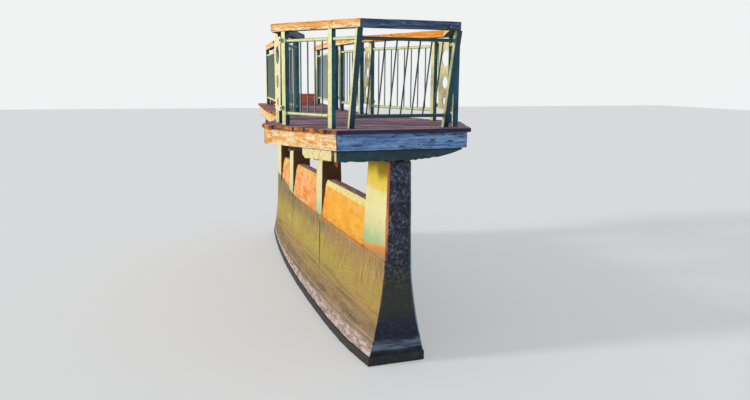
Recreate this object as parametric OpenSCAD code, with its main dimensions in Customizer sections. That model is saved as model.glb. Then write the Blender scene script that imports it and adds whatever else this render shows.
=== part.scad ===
// Sluice pier with a railed timber platform.
// One concrete pier with a flared foot stands in a canal. Steel beams on its columns carry a
// plank deck with a wide six sided head, a narrow walkway that bends a little, and a railing.
// Z = 0 is the water line at the foot, +Y runs back along the pier and +X is to the right.

/* [Pier] */
// Length of the pier's foot from the flat front face to its pointed nose
foot_length = 7000; // [6500:50:7400]
// Distance of the flat front face in front of the origin
front_at = 3250; // [3000:50:3500]
// How far the wall's nose stands back from the foot's nose
nose_rake = 750; // [500:10:900]
// Thickness of the wall above the flare
wall_thickness = 280; // [220:10:360]
// Width of the foot at the front
foot_width = 680; // [600:10:760]
// Width of the foot at its widest
foot_widest = 870; // [780:10:960]
// Distance from the front to the foot's widest place
foot_widest_at = 1200; // [900:50:1600]
// How full the long taper to the foot's nose is, where 2 is a parabola
foot_fullness = 2.2; // [1.8:0.1:2.6]
// Ledge of the plinth beyond the flare
plinth_ledge = 14; // [6:1:30]
// Height of the plinth
plinth_height = 110; // [60:5:180]
// Height at which the flare ends and the columns start
flare_height = 1200; // [1000:10:1400]
// How strongly the flare curves, where 1 is straight
flare_power = 1.6; // [1.2:0.1:2.2]
// Length of the rounded nose of the wall
wall_nose = 950; // [700:50:1300]
// Length of the front column at its top
front_column_top = 640; // [500:10:760]
// Length of the front column at its foot
front_column_foot = 780; // [700:10:900]
// Distance from the front face to the second column
second_column_at = 2650; // [2400:10:2800]
// Length of the second column
second_column_length = 310; // [240:10:360]
// Distance from the front face to the third column
third_column_at = 4500; // [4300:10:4700]
// Length of the third column
third_column_length = 270; // [220:10:340]
// Distance from the front face to the nose column
nose_column_at = 5510; // [5200:10:5600]
// Height of the sills between the columns
sill_height = 1735; // [1600:5:1900]
// Thickness of the leaning wall at its sill
sill_thickness = 136; // [100:2:180]
// Height of the bevel under the sill
sill_bevel = 85; // [40:5:120]
// How much narrower the bevel makes each side
bevel_run = 26; // [10:2:36]

/* [Deck] */
// Height of the deck surface
deck_height = 2660; // [2560:10:2900]
// Thickness of the deck planks
plank_thickness = 44; // [32:2:60]
// How far the planks pass the fascia
plank_overhang = 45; // [20:5:80]
// Half width of the fascia at the front
front_half = 740; // [650:10:820]
// Distance from the middle to the left fascia's widest corner
left_half = 1290; // [1200:10:1380]
// Distance from the middle to the right fascia's widest corner
right_half = 1115; // [1050:5:1200]
// Distance back from the front to the widest place
widest_at = 1030; // [920:10:1150]
// Half width of the walkway's fascia
walk_half = 600; // [560:10:680]
// Distance back from the front to the neck
neck_at = 2750; // [2600:10:2900]
// Distance back from the front to the bend in the walkway
bend_at = 4100; // [3900:10:4300]
// Angle that the walkway turns to the right
bend_angle = 7; // [0:0.5:10]
// Distance along the walkway from the bend to its end
far_length = 2950; // [2600:10:3200]
// How far the fascia stands in front of the pier
front_reach = 120; // [60:5:200]
// Height of the fascia boards
fascia_height = 176; // [140:2:220]
// Thickness of the fascia boards
fascia_thickness = 40; // [28:2:60]
// Open joint at each end of a fascia board
fascia_joint = 4; // [1:1:10]
// Width of a joist
joist_width = 70; // [50:5:90]
// Spacing of the joists
joist_spacing = 300; // [250:10:330]
// Open joint at the end of a joist
joist_gap = 5; // [2:1:10]
// Height of the timber step at the entrance
step_height = 200; // [120:10:260]
// Depth of the timber step
step_depth = 260; // [160:10:320]

/* [Steelwork] */
// Thickness of the front beam
front_beam_thickness = 80; // [50:5:90]
// Depth of the front beam
front_beam_depth = 124; // [90:2:136]
// How far the front beam stands behind the fascia's face
front_beam_inset = 30; // [20:5:40]
// Length of the taper at the right end of the front beam
taper_length = 560; // [300:10:620]
// Depth left at the tip of the taper
taper_tip = 16; // [8:2:40]
// Width of a bearer on the pier
bearer_width = 60; // [40:5:70]
// Depth of a bearer between the column tops and the fascia
bearer_depth = 140; // [136:2:180]
// Clear gap between the two bearers
bearer_gap = 120; // [80:5:130]
// Depth of a cross beam
cross_depth = 110; // [80:5:130]
// Width of a cross beam
cross_width = 80; // [60:5:100]
// Thickness of the flanges and web of a cross beam
cross_wall = 9; // [6:1:14]
// Longest half length of a cross beam from the middle
cross_reach = 960; // [940:10:1060]
// Distance of the head's cross beam behind the widest place
head_cross = 230; // [150:10:300]
// Distance of the neck's cross beam in front of the neck
neck_cross = 50; // [45:5:90]
// Distance of the last cross beam from the walkway's end
end_cross = 800; // [600:50:1000]
// Length of the edge plate under the left flared fascia
edge_plate_length = 560; // [300:10:700]
// Thickness of the edge plate
edge_plate_thickness = 44; // [20:2:60]
// Depth of the edge plate
edge_plate_depth = 118; // [80:2:130]
// Radius of the rounded lower corner of the edge plate
edge_plate_round = 70; // [30:5:76]

/* [Railing] */
// Height of the handrail's top above the deck
rail_height = 1100; // [1000:10:1200]
// Depth of the handrail timber
handrail_depth = 90; // [60:5:110]
// Width of the handrail timber
handrail_width = 120; // [90:5:150]
// How far the handrail's outer edge stands inside the fascia
handrail_inset = 86; // [70:2:100]
// Open joint at each end of a handrail timber
handrail_joint = 2; // [1:1:6]
// How far the front handrail leans out beyond the fascia
front_lean = 177; // [80:1:220]
// Distance of the leaning posts' feet behind the fascia's face
lean_foot = 157; // [130:1:190]
// Half distance between the leaning posts
lean_half = 540; // [450:5:560]
// Side of a square post
post_side = 58; // [40:2:70]
// Half distance between the front corners of the handrail's outline
rail_corner = 600; // [570:5:640]
// Distance of the posts' centres behind the fascia's face
post_line = 118; // [115:1:140]
// Distance of the first post from the front corner of the railing
front_setback = 120; // [100:5:170]
// Distance of the flared section's last post from the widest corner
flare_setback = 190; // [160:5:240]
// Distance of the rear section's first post from the widest corner
rear_setback = 275; // [230:5:320]
// Distance of the posts from the neck
neck_setback = 160; // [140:5:200]
// Distance of the posts from the bend
bend_setback = 190; // [150:5:230]
// Distance of the last post from the end of the walkway
end_setback = 620; // [600:5:700]
// Diameter of the horizontal tubes
tube_d = 36; // [26:1:42]
// Height of the lower tube's centre above the deck
low_tube = 130; // [100:5:170]
// Height of the upper tube's centre above the deck
high_tube = 912; // [860:2:950]
// Diameter of the balusters
baluster_d = 16; // [10:1:20]
// Largest spacing of the balusters
baluster_spacing = 143; // [90:1:150]
// Largest spacing of the balusters in the flared sections
flare_spacing = 125; // [90:1:150]

/* [Corner plates] */
// Thickness of the perforated plates
plate_thickness = 10; // [6:1:14]
// Height of a plate's lower edge above the deck
plate_low = 148; // [110:2:160]
// Height of a plate's upper edge above the deck
plate_high = 960; // [930:2:980]
// Share of the distance between the posts that the wide end of a plate takes
plate_wide = 0.96; // [0.9:0.01:1.04]
// Share of the distance between the posts that the narrow end of a plate takes
plate_narrow = 0.7; // [0.62:0.01:0.8]
// How far the lugs reach past the posts' centres
lug_reach = 27; // [24:1:34]
// Diameter of the largest hole
large_hole = 200; // [150:2:210]
// Diameter of the middle hole
middle_hole = 150; // [110:2:156]
// Diameter of the smallest hole
small_hole = 96; // [60:2:110]
// Height of the lugs that are bolted over the posts
lug_height = 46; // [30:2:60]
// Gap between a plate or a link and its post
lug_gap = 0.3; // [0.2:0.1:0.6]
// Length of the curved end plate past the last post
wing_length = 560; // [300:10:580]

/* [Hidden] */

// Places along Y
pier_front = -front_at;
deck_front = pier_front - front_reach;
wall_length = foot_length - nose_rake;

// Levels
plank_under = deck_height - plank_thickness;
fascia_under = plank_under - fascia_height;
pier_height = fascia_under - bearer_depth;
post_top = deck_height + rail_height - handrail_depth;

// Reach to the sides
sideways = left_half + right_half;
bearer_out = bearer_gap / 2 + bearer_width;

// Places of the cross beams
neck_beam_at = neck_at - neck_cross;
cross_places = [widest_at + head_cross, neck_beam_at, bend_at, bend_at + far_length - end_cross];

// Colours
concrete = "#8d8464";
wall_orange = "#b98a52";
column_cream = "#c9bf8d";
steel_green = "#5b9a72";
timber = "#b07c4d";
plank_red = "#7d5a60";

// Unit direction, left normal and the crossing of two lines
function unit(v) = v / norm(v);
function left_of(v) = [-v.y, v.x];
function cross2(a, b) = a.x * b.y - a.y * b.x;
function meet(p, u, q, v) = p + u * cross2(q - p, v) / cross2(u, v);

// A closed outline, listed anticlockwise, moved inwards by d
function inset(outline, d) = [
    for (i = [0 : len(outline) - 1])
        let (
            n = len(outline),
            a = outline[(i + n - 1) % n],
            b = outline[i],
            c = outline[(i + 1) % n],
            u = unit(b - a),
            v = unit(c - b)
        )
        meet(b + d * left_of(u), u, b + d * left_of(v), v)
];

// Plan point of the walkway, past the bend
function past_bend(x, along) = [
    x * cos(bend_angle) + along * sin(bend_angle),
    bend_at + along * cos(bend_angle) - x * sin(bend_angle)
];
function at_bend(x) = [x, bend_at - x * tan(bend_angle / 2)];

// Outline of the fascia's outer face, anticlockwise from the front left corner
fascia_outline = [
    [-front_half, 0], [front_half, 0], [right_half, widest_at], [walk_half, neck_at],
    at_bend(walk_half), past_bend(walk_half, far_length), past_bend(-walk_half, far_length),
    at_bend(-walk_half), [-walk_half, neck_at], [-left_half, widest_at]
];

// The handrail follows the same outline, with its front edge carried forward by the lean
rail_front = -front_lean - handrail_inset;
rail_outline = [
    [-rail_corner, rail_front], [rail_corner, rail_front],
    for (i = [2 : 9]) fascia_outline[i]
];
foot_outline = inset(fascia_outline, post_line);

// Corner numbers of the outlines, right side then left side
RIGHT = [1, 2, 3, 4, 5];
LEFT = [0, 9, 8, 7, 6];

module at_deck() {
    translate([0, deck_front, 0]) children();
}

module at_pier() {
    translate([0, pier_front, 0]) children();
}

// Pier

// Half width of the foot and of the wall at a distance from the front
function foot_half(s) = s < foot_widest_at
    ? foot_widest / 2 - (foot_widest - foot_width) / 2 * pow(1 - s / foot_widest_at, 2)
    : foot_widest / 2 * (1 - pow((s - foot_widest_at) / (foot_length - foot_widest_at), foot_fullness));

function wall_half(s) = s < wall_length - wall_nose
    ? wall_thickness / 2
    : wall_thickness / 2 * sqrt(1 - pow((s - wall_length + wall_nose) / wall_nose, 2));

function whole_plan(side, length) = concat(
    side,
    [[0, length]],
    [for (i = [len(side) - 1 : -1 : 0]) [-side[i].x, side[i].y]]
);

// Shares of the length at which the plans have their points
shares = [0, 0.03, 0.07, 0.12, 0.18, 0.26, 0.36, 0.47, 0.58, 0.69, 0.79, 0.87, 0.93, 0.97, 0.99];
inner = 1 - 2 * plinth_ledge / foot_widest;
foot_plan = whole_plan(
    [for (t = shares) [foot_half(t * foot_length) * inner, t * (foot_length - plinth_ledge)]],
    foot_length - plinth_ledge
);
plinth_plan = whole_plan([for (t = shares) [foot_half(t * foot_length), t * foot_length]], foot_length);
wall_plan = whole_plan([for (t = shares) [wall_half(t * wall_length), t * wall_length]], wall_length);

module pier_plinth() {
    color(concrete)
        at_pier()
            linear_extrude(plinth_height)
                polygon(plinth_plan);
}

// The flare: rings of the plan that shrink from the foot to the wall
module pier_shaft() {
    count = len(foot_plan);
    nose = len(shares);
    levels = 9;
    rings = [
        for (k = [0 : levels])
            let (rise = k / levels, share = pow(1 - rise, flare_power))
            for (i = [0 : count - 1])
                let (xy = wall_plan[i] + (foot_plan[i] - wall_plan[i]) * share)
                [xy.x, xy.y, plinth_height + rise * (flare_height - plinth_height)]
    ];
    sides = [
        for (k = [0 : levels - 1], i = [0 : count - 1], half = [0, 1])
            let (j = (i + 1) % count, a = k * count, b = a + count)
            half == 0 ? [a + i, b + i, b + j] : [a + i, b + j, a + j]
    ];
    bottom = [[for (i = [0 : count - 1]) (nose + i) % count]];
    top = [[for (i = [0 : count - 1]) levels * count + (nose + count - i) % count]];
    color(concrete)
        at_pier()
            polyhedron(rings, concat(bottom, sides, top));
}

// A column of the wall, drawn from the side and as thick as the wall
module column(at, length_foot, length_top) {
    color(column_cream)
        at_pier()
            translate([-wall_thickness / 2, 0, 0])
                rotate([90, 0, 90])
                    linear_extrude(wall_thickness)
                        polygon([
                            [at, flare_height], [at + length_foot, flare_height],
                            [at + length_top, pier_height], [at, pier_height]
                        ]);
}

module front_column() {
    column(0, front_column_foot, front_column_top);
}

module second_column() {
    column(second_column_at, second_column_length, second_column_length);
}

module third_column() {
    column(third_column_at, third_column_length, third_column_length);
}

module nose_column() {
    color(column_cream)
        at_pier()
            translate([0, 0, flare_height])
                linear_extrude(pier_height - flare_height)
                    intersection() {
                        polygon(wall_plan);
                        translate([-wall_thickness, nose_column_at])
                            square([2 * wall_thickness, wall_length]);
                    }
}

// The wall between two columns: it leans in on both sides up to a bevelled sill
module wall_panel(from, to) {
    foot = wall_thickness / 2;
    top = sill_thickness / 2;
    shoulder = top + bevel_run;
    color(wall_orange)
        at_pier()
            translate([0, to, 0])
                rotate([90, 0, 0])
                    linear_extrude(to - from)
                        polygon([
                            [-foot, flare_height], [foot, flare_height],
                            [shoulder, sill_height - sill_bevel], [top, sill_height],
                            [-top, sill_height], [-shoulder, sill_height - sill_bevel]
                        ]);
}

// The front column's back leans, so the first wall's end is cut to the same line
module front_wall_panel() {
    run = front_column_foot - front_column_top;
    color(wall_orange)
        difference() {
            wall_panel(front_column_top, second_column_at);
            at_pier()
                translate([-wall_thickness, 0, 0])
                    rotate([90, 0, 90])
                        linear_extrude(2 * wall_thickness)
                            polygon([
                                [0, flare_height - 1],
                                [front_column_foot + run / (pier_height - flare_height), flare_height - 1],
                                [front_column_top, pier_height],
                                [0, pier_height]
                            ]);
        }
}

module middle_wall_panel() {
    wall_panel(second_column_at + second_column_length, third_column_at);
}

module rear_wall_panel() {
    wall_panel(third_column_at + third_column_length, nose_column_at);
}

// Steelwork

// The front beam keeps its depth to the left corner and tapers to the right one
module front_beam() {
    left = -front_half + fascia_joint;
    right = front_half - fascia_thickness - fascia_joint;
    low = fascia_under - front_beam_depth;
    color(steel_green)
        at_deck()
            translate([0, front_beam_inset + front_beam_thickness, 0])
                rotate([90, 0, 0])
                    linear_extrude(front_beam_thickness)
                        polygon([
                            [left, low], [right - taper_length, low],
                            [right - taper_length / 2, low + front_beam_depth * 0.25],
                            [right - taper_length / 5, low + front_beam_depth * 0.56],
                            [right, fascia_under - taper_tip],
                            [right, fascia_under], [left, fascia_under]
                        ]);
}

// The outline of the edge plate, with one rounded lower corner
module edge_plate_outline() {
    square_length = edge_plate_length - edge_plate_round;
    square([square_length, edge_plate_depth]);
    translate([square_length, edge_plate_round]) {
        circle(r = edge_plate_round, $fn = 48);
        square([edge_plate_round, edge_plate_depth]);
    }
}

// A plate under the left flared fascia, cut off behind the front beam
module left_edge_beam() {
    start = front_beam_inset + front_beam_thickness + lug_gap;
    color(steel_green)
        at_deck()
            intersection() {
                translate([-front_half, 0, 0])
                    rotate([0, 0, atan2(widest_at, front_half - left_half)])
                        translate([0, -front_beam_inset, fascia_under - edge_plate_depth])
                            rotate([90, 0, 0])
                                linear_extrude(edge_plate_thickness)
                                    intersection() {
                                        square([edge_plate_length, edge_plate_depth]);
                                        edge_plate_outline();
                                    }
                translate([-sideways, start, 0])
                    cube([2 * sideways, 2 * widest_at, 2 * deck_height]);
            }
}

// Two bearers lie on the column tops from the front beam to the end fascia
module bearers() {
    start = front_beam_inset + front_beam_thickness;
    color(steel_green)
        at_deck()
            intersection() {
                for (side = [-1, 1])
                    translate([side * (bearer_gap + bearer_width) / 2, start, pier_height])
                        translate([-bearer_width / 2, 0, 0])
                            cube([bearer_width, 2 * foot_length, bearer_depth]);
                translate([0, 0, pier_height])
                    linear_extrude(bearer_depth)
                        polygon(inset(fascia_outline, fascia_thickness));
            }
}

// Cross beams of channel section, in two halves that meet the bearers' outer sides
module crossbeams() {
    half = cross_width / 2;
    low = fascia_under - cross_depth;
    color(steel_green)
        at_deck()
            intersection() {
                for (at = cross_places, side = [-1, 1])
                    translate([side > 0 ? bearer_out : -cross_reach, at, 0])
                        rotate([90, 0, 90])
                            linear_extrude(cross_reach - bearer_out)
                                polygon([
                                    [-half, low], [half, low], [half, low + cross_wall],
                                    [-half + cross_wall, low + cross_wall],
                                    [-half + cross_wall, fascia_under - cross_wall],
                                    [half, fascia_under - cross_wall],
                                    [half, fascia_under], [-half, fascia_under]
                                ]);
                linear_extrude(deck_height)
                    polygon(inset(fascia_outline, fascia_thickness));
            }
}

// Timber

module inside_fascia() {
    linear_extrude(deck_height)
        polygon(inset(fascia_outline, fascia_thickness));
}

// A joist along Y between two places, at one distance from the middle
module joist(x, from, to) {
    translate([x - joist_width / 2, from, fascia_under])
        cube([joist_width, to - from, fascia_height]);
}

module head_joists() {
    count = floor((cross_reach - joist_width / 2) / joist_spacing);
    color(timber)
        at_deck()
            intersection() {
                for (k = [-count : count])
                    joist(k * joist_spacing, 0, neck_beam_at - joist_gap);
                inside_fascia();
            }
}

module walkway_joists() {
    step = walk_half - fascia_thickness - joist_width;
    fold = step * sin(bend_angle) / 2;
    color(timber)
        at_deck()
            intersection() {
                union() {
                    for (k = [-1 : 1]) {
                        joist(k * step, neck_beam_at + joist_gap, bend_at - joist_gap - abs(k) * fold);
                        translate([0, bend_at, 0])
                            rotate([0, 0, -bend_angle])
                                joist(k * step, joist_gap + abs(k) * fold, far_length);
                    }
                }
                inside_fascia();
            }
}

// The deck's plan is split at the neck
module deck_part(from, to) {
    color(plank_red)
        at_deck()
            translate([0, 0, plank_under])
                linear_extrude(plank_thickness)
                    intersection() {
                        polygon(inset(fascia_outline, -plank_overhang));
                        translate([-sideways, from])
                            square([2 * sideways, to - from]);
                    }
}

module head_deck() {
    deck_part(-plank_overhang - 1, neck_at);
}

module walkway_deck() {
    deck_part(neck_at, 2 * foot_length);
}

// A board between two corners of an outline, mitred at both ends with an open joint
function board(outer, inner, i, j, joint) =
    let (u = unit(outer[j] - outer[i]))
    [
        outer[i] + joint * u, outer[j] - joint * u,
        inner[j] - joint * u, inner[i] + joint * u
    ];

module fascia_board(i, j) {
    inner_line = inset(fascia_outline, fascia_thickness);
    color(timber)
        at_deck()
            translate([0, 0, fascia_under])
                linear_extrude(fascia_height)
                    polygon(board(fascia_outline, inner_line, i, j, fascia_joint));
}

module front_fascia() {
    fascia_board(0, 1);
}

module left_flare_fascia() {
    fascia_board(LEFT[0], LEFT[1]);
}

module right_flare_fascia() {
    fascia_board(RIGHT[0], RIGHT[1]);
}

module left_rear_fascia() {
    fascia_board(LEFT[1], LEFT[2]);
}

module right_rear_fascia() {
    fascia_board(RIGHT[1], RIGHT[2]);
}

module left_walkway_fascia() {
    fascia_board(LEFT[2], LEFT[3]);
    fascia_board(LEFT[3], LEFT[4]);
}

module right_walkway_fascia() {
    fascia_board(RIGHT[2], RIGHT[3]);
    fascia_board(RIGHT[3], RIGHT[4]);
}

module end_fascia() {
    fascia_board(RIGHT[4], LEFT[4]);
}

// A low timber step across the open end of the walkway
module entrance_step() {
    half = walk_half - post_line - post_side;
    color(timber)
        at_deck()
            translate([0, bend_at, deck_height])
                rotate([0, 0, -bend_angle])
                    translate([-half, far_length - end_setback + post_side, 0])
                        cube([2 * half, step_depth, step_height]);
}

// Railing

// Point on the railing's centre line, a distance from corner i towards corner j
function on_rail(i, j, d) = foot_outline[i] + d * unit(foot_outline[j] - foot_outline[i]);

module post(p, turn, grow = 0) {
    side = post_side + 2 * grow;
    translate([p.x, p.y, deck_height - grow])
        rotate([0, 0, turn])
            translate([-side / 2, -side / 2, 0])
                cube([side, side, post_top - deck_height + 2 * grow]);
}

// A railing section: two posts, two tubes and a row of balusters. The first post may be turned
module section(p, q, spacing = baluster_spacing, first_turn = undef) {
    span = norm(q - p);
    turn = heading(p, q);
    count = max(1, ceil((span - post_side) / spacing) - 1);
    pitch = (span - post_side) / (count + 1);
    color(steel_green)
        at_deck() {
            post(p, is_undef(first_turn) ? turn : first_turn);
            post(q, turn);
            translate([p.x, p.y, deck_height])
                rotate([0, 0, turn]) {
                    for (z = [low_tube, high_tube])
                        translate([post_side / 2 - 1, 0, z])
                            rotate([0, 90, 0])
                                cylinder(d = tube_d, h = span - post_side + 2, $fn = 32);
                    for (k = [1 : count])
                        translate([post_side / 2 + k * pitch, 0, low_tube])
                            cylinder(d = baluster_d, h = high_tube - low_tube, $fn = 16);
                }
        }
}

function flare_start(s) = on_rail(s[0], s[1], front_setback);
function flare_end(s) = on_rail(s[1], s[0], flare_setback);
function rear_start(s) = on_rail(s[1], s[2], rear_setback);
function rear_end(s) = on_rail(s[2], s[1], neck_setback);
function walk_start(s) = on_rail(s[2], s[3], neck_setback);
function walk_end(s) = on_rail(s[3], s[2], bend_setback);
function entry_start(s) = on_rail(s[3], s[4], bend_setback);
function entry_end(s) = on_rail(s[4], s[3], end_setback - post_line);

module left_flare_railing() {
    section(flare_start(LEFT), flare_end(LEFT), flare_spacing);
}

module right_flare_railing() {
    section(flare_start(RIGHT), flare_end(RIGHT), flare_spacing);
}

// The first post of this section is turned as the flared section's posts are
module left_rear_railing() {
    flare_turn = heading(flare_start(LEFT), flare_end(LEFT));
    section(rear_start(LEFT), rear_end(LEFT), first_turn = flare_turn);
}

module right_rear_railing() {
    section(rear_start(RIGHT), rear_end(RIGHT));
}

module left_walkway_railing() {
    section(walk_start(LEFT), walk_end(LEFT));
}

module right_walkway_railing() {
    section(walk_start(RIGHT), walk_end(RIGHT));
}

module left_entrance_railing() {
    section(entry_start(LEFT), entry_end(LEFT));
}

module right_entrance_railing() {
    section(entry_start(RIGHT), entry_end(RIGHT));
}

// The front section leans outwards between two leaning posts that are cut level
lean_rise = rail_height - handrail_depth;
lean_run = lean_foot + front_lean - handrail_width / 2;
lean_angle = atan(lean_run / lean_rise);
function lean_y(z) = lean_foot - lean_run * z / lean_rise;

// A leaning post with its foot and head cut level
module leaning_post(x, grow = 0) {
    half_side = post_side / 2 / cos(lean_angle) + grow;
    translate([x - post_side / 2 - grow, 0, 0])
        rotate([90, 0, 90])
            linear_extrude(post_side + 2 * grow)
                polygon([
                    [lean_y(0) - half_side, 0], [lean_y(0) + half_side, 0],
                    [lean_y(lean_rise) + half_side, lean_rise],
                    [lean_y(lean_rise) - half_side, lean_rise]
                ]);
}

module front_railing() {
    rise = high_tube - low_tube;
    clear = 2 * lean_half - post_side;
    count = ceil(clear / baluster_spacing) - 1;
    pitch = clear / (count + 1);
    color(steel_green)
        at_deck()
            translate([0, 0, deck_height]) {
                leaning_post(-lean_half);
                leaning_post(lean_half);
                for (z = [low_tube, high_tube])
                    translate([-clear / 2 - 1, lean_y(z), z])
                        rotate([0, 90, 0])
                            cylinder(d = tube_d, h = clear + 2, $fn = 32);
                for (k = [1 : count])
                    translate([-clear / 2 + k * pitch, lean_y(low_tube), low_tube])
                        rotate([lean_angle, 0, 0])
                            cylinder(d = baluster_d, h = rise / cos(lean_angle), $fn = 16);
            }
}

// A short tube from a leaning post back to the first post of the flared section
module top_link(s, x) {
    p = flare_start(s);
    run = [p.x - x, p.y - lean_y(high_tube)];
    color(steel_green)
        at_deck()
            difference() {
                translate([x, lean_y(high_tube), deck_height + high_tube])
                    rotate([0, 90, atan2(run.y, run.x)])
                        cylinder(d = tube_d, h = norm(run), $fn = 32);
                post(p, heading(p, flare_end(s)), lug_gap);
                translate([0, 0, deck_height])
                    leaning_post(x, lug_gap);
            }
}

module left_top_link() {
    top_link(LEFT, -lean_half);
}

module right_top_link() {
    top_link(RIGHT, lean_half);
}

// Handrails: mitred timbers that lie on the posts
module handrail_board(i, j) {
    outer = inset(rail_outline, handrail_inset);
    inner = inset(rail_outline, handrail_inset + handrail_width);
    color(timber)
        at_deck()
            translate([0, 0, post_top])
                linear_extrude(handrail_depth)
                    polygon(board(outer, inner, i, j, handrail_joint));
}

// The last timber of a side ends over the entrance post
module entry_handrail(side) {
    s = side > 0 ? RIGHT : LEFT;
    length = widest_at + far_length - end_setback + post_side;
    intersection() {
        handrail_board(min(s[3], s[4]), max(s[3], s[4]));
        at_deck()
            translate([0, bend_at, 0])
                rotate([0, 0, -bend_angle])
                    translate([-sideways, -widest_at, 0])
                        cube([2 * sideways, length, 2 * deck_height]);
    }
}

module front_handrail() {
    handrail_board(0, 1);
}

module left_flare_handrail() {
    handrail_board(9, 0);
}

module right_flare_handrail() {
    handrail_board(1, 2);
}

module left_rear_handrail() {
    handrail_board(8, 9);
}

module right_rear_handrail() {
    handrail_board(2, 3);
}

module left_walkway_handrail() {
    handrail_board(7, 8);
    entry_handrail(-1);
}

module right_walkway_handrail() {
    handrail_board(3, 4);
    entry_handrail(1);
}

// Perforated plates

// How far a post's corner stands off the line that a plate follows
function stand_off(turn, post_turn) =
    post_side / 2 * (abs(cos(turn - post_turn)) + abs(sin(turn - post_turn)));

// A tapered plate on the outer side of two posts, with three graded holes and four lugs over the posts.
// The side is 1 where outwards lies to the left of the way from p to q, and -1 where it lies to the right
module perforated_plate(p, q, turn_p, turn_q, side, wide_on_top) {
    span = norm(q - p);
    turn = heading(p, q);
    height = plate_high - plate_low;
    low_half = span / 2 * (wide_on_top ? plate_narrow : plate_wide);
    high_half = span / 2 * (wide_on_top ? plate_wide : plate_narrow);
    lug_half = span / 2 + lug_reach;
    outwards = max(stand_off(turn, turn_p), stand_off(turn, turn_q)) + lug_gap + plate_thickness / 2;
    shrink = min(1, span * plate_wide / (large_hole * 1.5));
    sizes = wide_on_top ? [small_hole, middle_hole, large_hole] : [large_hole, middle_hole, small_hole];
    places = wide_on_top ? [0.12, 0.4, 0.76] : [0.2, 0.55, 0.84];
    color(steel_green)
        at_deck()
            translate([(p.x + q.x) / 2, (p.y + q.y) / 2, deck_height + plate_low])
                rotate([0, 0, turn])
                    translate([0, side * outwards + plate_thickness / 2, 0])
                        rotate([90, 0, 0])
                            linear_extrude(plate_thickness)
                                difference() {
                                    union() {
                                        polygon([
                                            [-low_half, 0], [low_half, 0],
                                            [high_half, height], [-high_half, height]
                                        ]);
                                        for (z = [lug_height * 0.4, height - lug_height * 1.4])
                                            translate([-lug_half, z])
                                                square([2 * lug_half, lug_height]);
                                    }
                                    for (k = [0 : 2])
                                        translate([0, height * places[k]])
                                            circle(d = sizes[k] * shrink, $fn = 48);
                                }
}

function heading(p, q) = atan2(q.y - p.y, q.x - p.x);

function outer_side(s) = s == LEFT ? 1 : -1;

module corner_plate(s) {
    flare_turn = heading(flare_start(s), flare_end(s));
    rear_turn = s == LEFT ? flare_turn : heading(rear_start(s), rear_end(s));
    perforated_plate(flare_end(s), rear_start(s), flare_turn, rear_turn, outer_side(s), true);
}

module neck_plate(s) {
    perforated_plate(
        rear_end(s), walk_start(s),
        heading(rear_start(s), rear_end(s)), heading(walk_start(s), walk_end(s)),
        outer_side(s), false
    );
}

module bend_plate(s) {
    perforated_plate(
        walk_end(s), entry_start(s),
        heading(walk_start(s), walk_end(s)), heading(entry_start(s), entry_end(s)),
        outer_side(s), true
    );
}

// A plate past the last post whose back edge curves down to the deck
module end_plate(s) {
    p = entry_end(s);
    turn = heading(entry_start(s), entry_end(s));
    rise = post_top - deck_height;
    color(steel_green)
        at_deck()
            translate([p.x, p.y, deck_height])
                rotate([0, 0, turn])
                    translate([post_side / 2, plate_thickness / 2, 0])
                        rotate([90, 0, 0])
                            linear_extrude(plate_thickness)
                                polygon(concat(
                                    [[0, 0]],
                                    [for (a = [0 : 6 : 90]) [
                                        wing_length * pow(cos(a), 0.7), rise * pow(sin(a), 0.9)
                                    ]]
                                ));
}

module left_corner_plate() {
    corner_plate(LEFT);
}

module right_corner_plate() {
    corner_plate(RIGHT);
}

module left_neck_plate() {
    neck_plate(LEFT);
}

module right_neck_plate() {
    neck_plate(RIGHT);
}

module left_bend_plate() {
    bend_plate(LEFT);
}

module right_bend_plate() {
    bend_plate(RIGHT);
}

module left_end_plate() {
    end_plate(LEFT);
}

module right_end_plate() {
    end_plate(RIGHT);
}

pier_plinth();
pier_shaft();
front_column();
second_column();
third_column();
nose_column();
front_wall_panel();
middle_wall_panel();
rear_wall_panel();
front_beam();
left_edge_beam();
bearers();
crossbeams();
head_joists();
walkway_joists();
head_deck();
walkway_deck();
front_fascia();
left_flare_fascia();
right_flare_fascia();
left_rear_fascia();
right_rear_fascia();
left_walkway_fascia();
right_walkway_fascia();
end_fascia();
entrance_step();
front_railing();
left_top_link();
right_top_link();
left_flare_railing();
right_flare_railing();
left_rear_railing();
right_rear_railing();
left_walkway_railing();
right_walkway_railing();
left_entrance_railing();
right_entrance_railing();
front_handrail();
left_flare_handrail();
right_flare_handrail();
left_rear_handrail();
right_rear_handrail();
left_walkway_handrail();
right_walkway_handrail();
left_corner_plate();
right_corner_plate();
left_neck_plate();
right_neck_plate();
left_bend_plate();
right_bend_plate();
left_end_plate();
right_end_plate();
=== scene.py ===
"""Dresses the sluice pier: worn concrete, a plank deck, painted railings and weathered rails."""
import logging
import math
from dataclasses import dataclass, field
from enum import Enum
from typing import Any, Iterable, Sequence

import bmesh
import bpy
from mathutils import Matrix, Vector, noise


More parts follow.
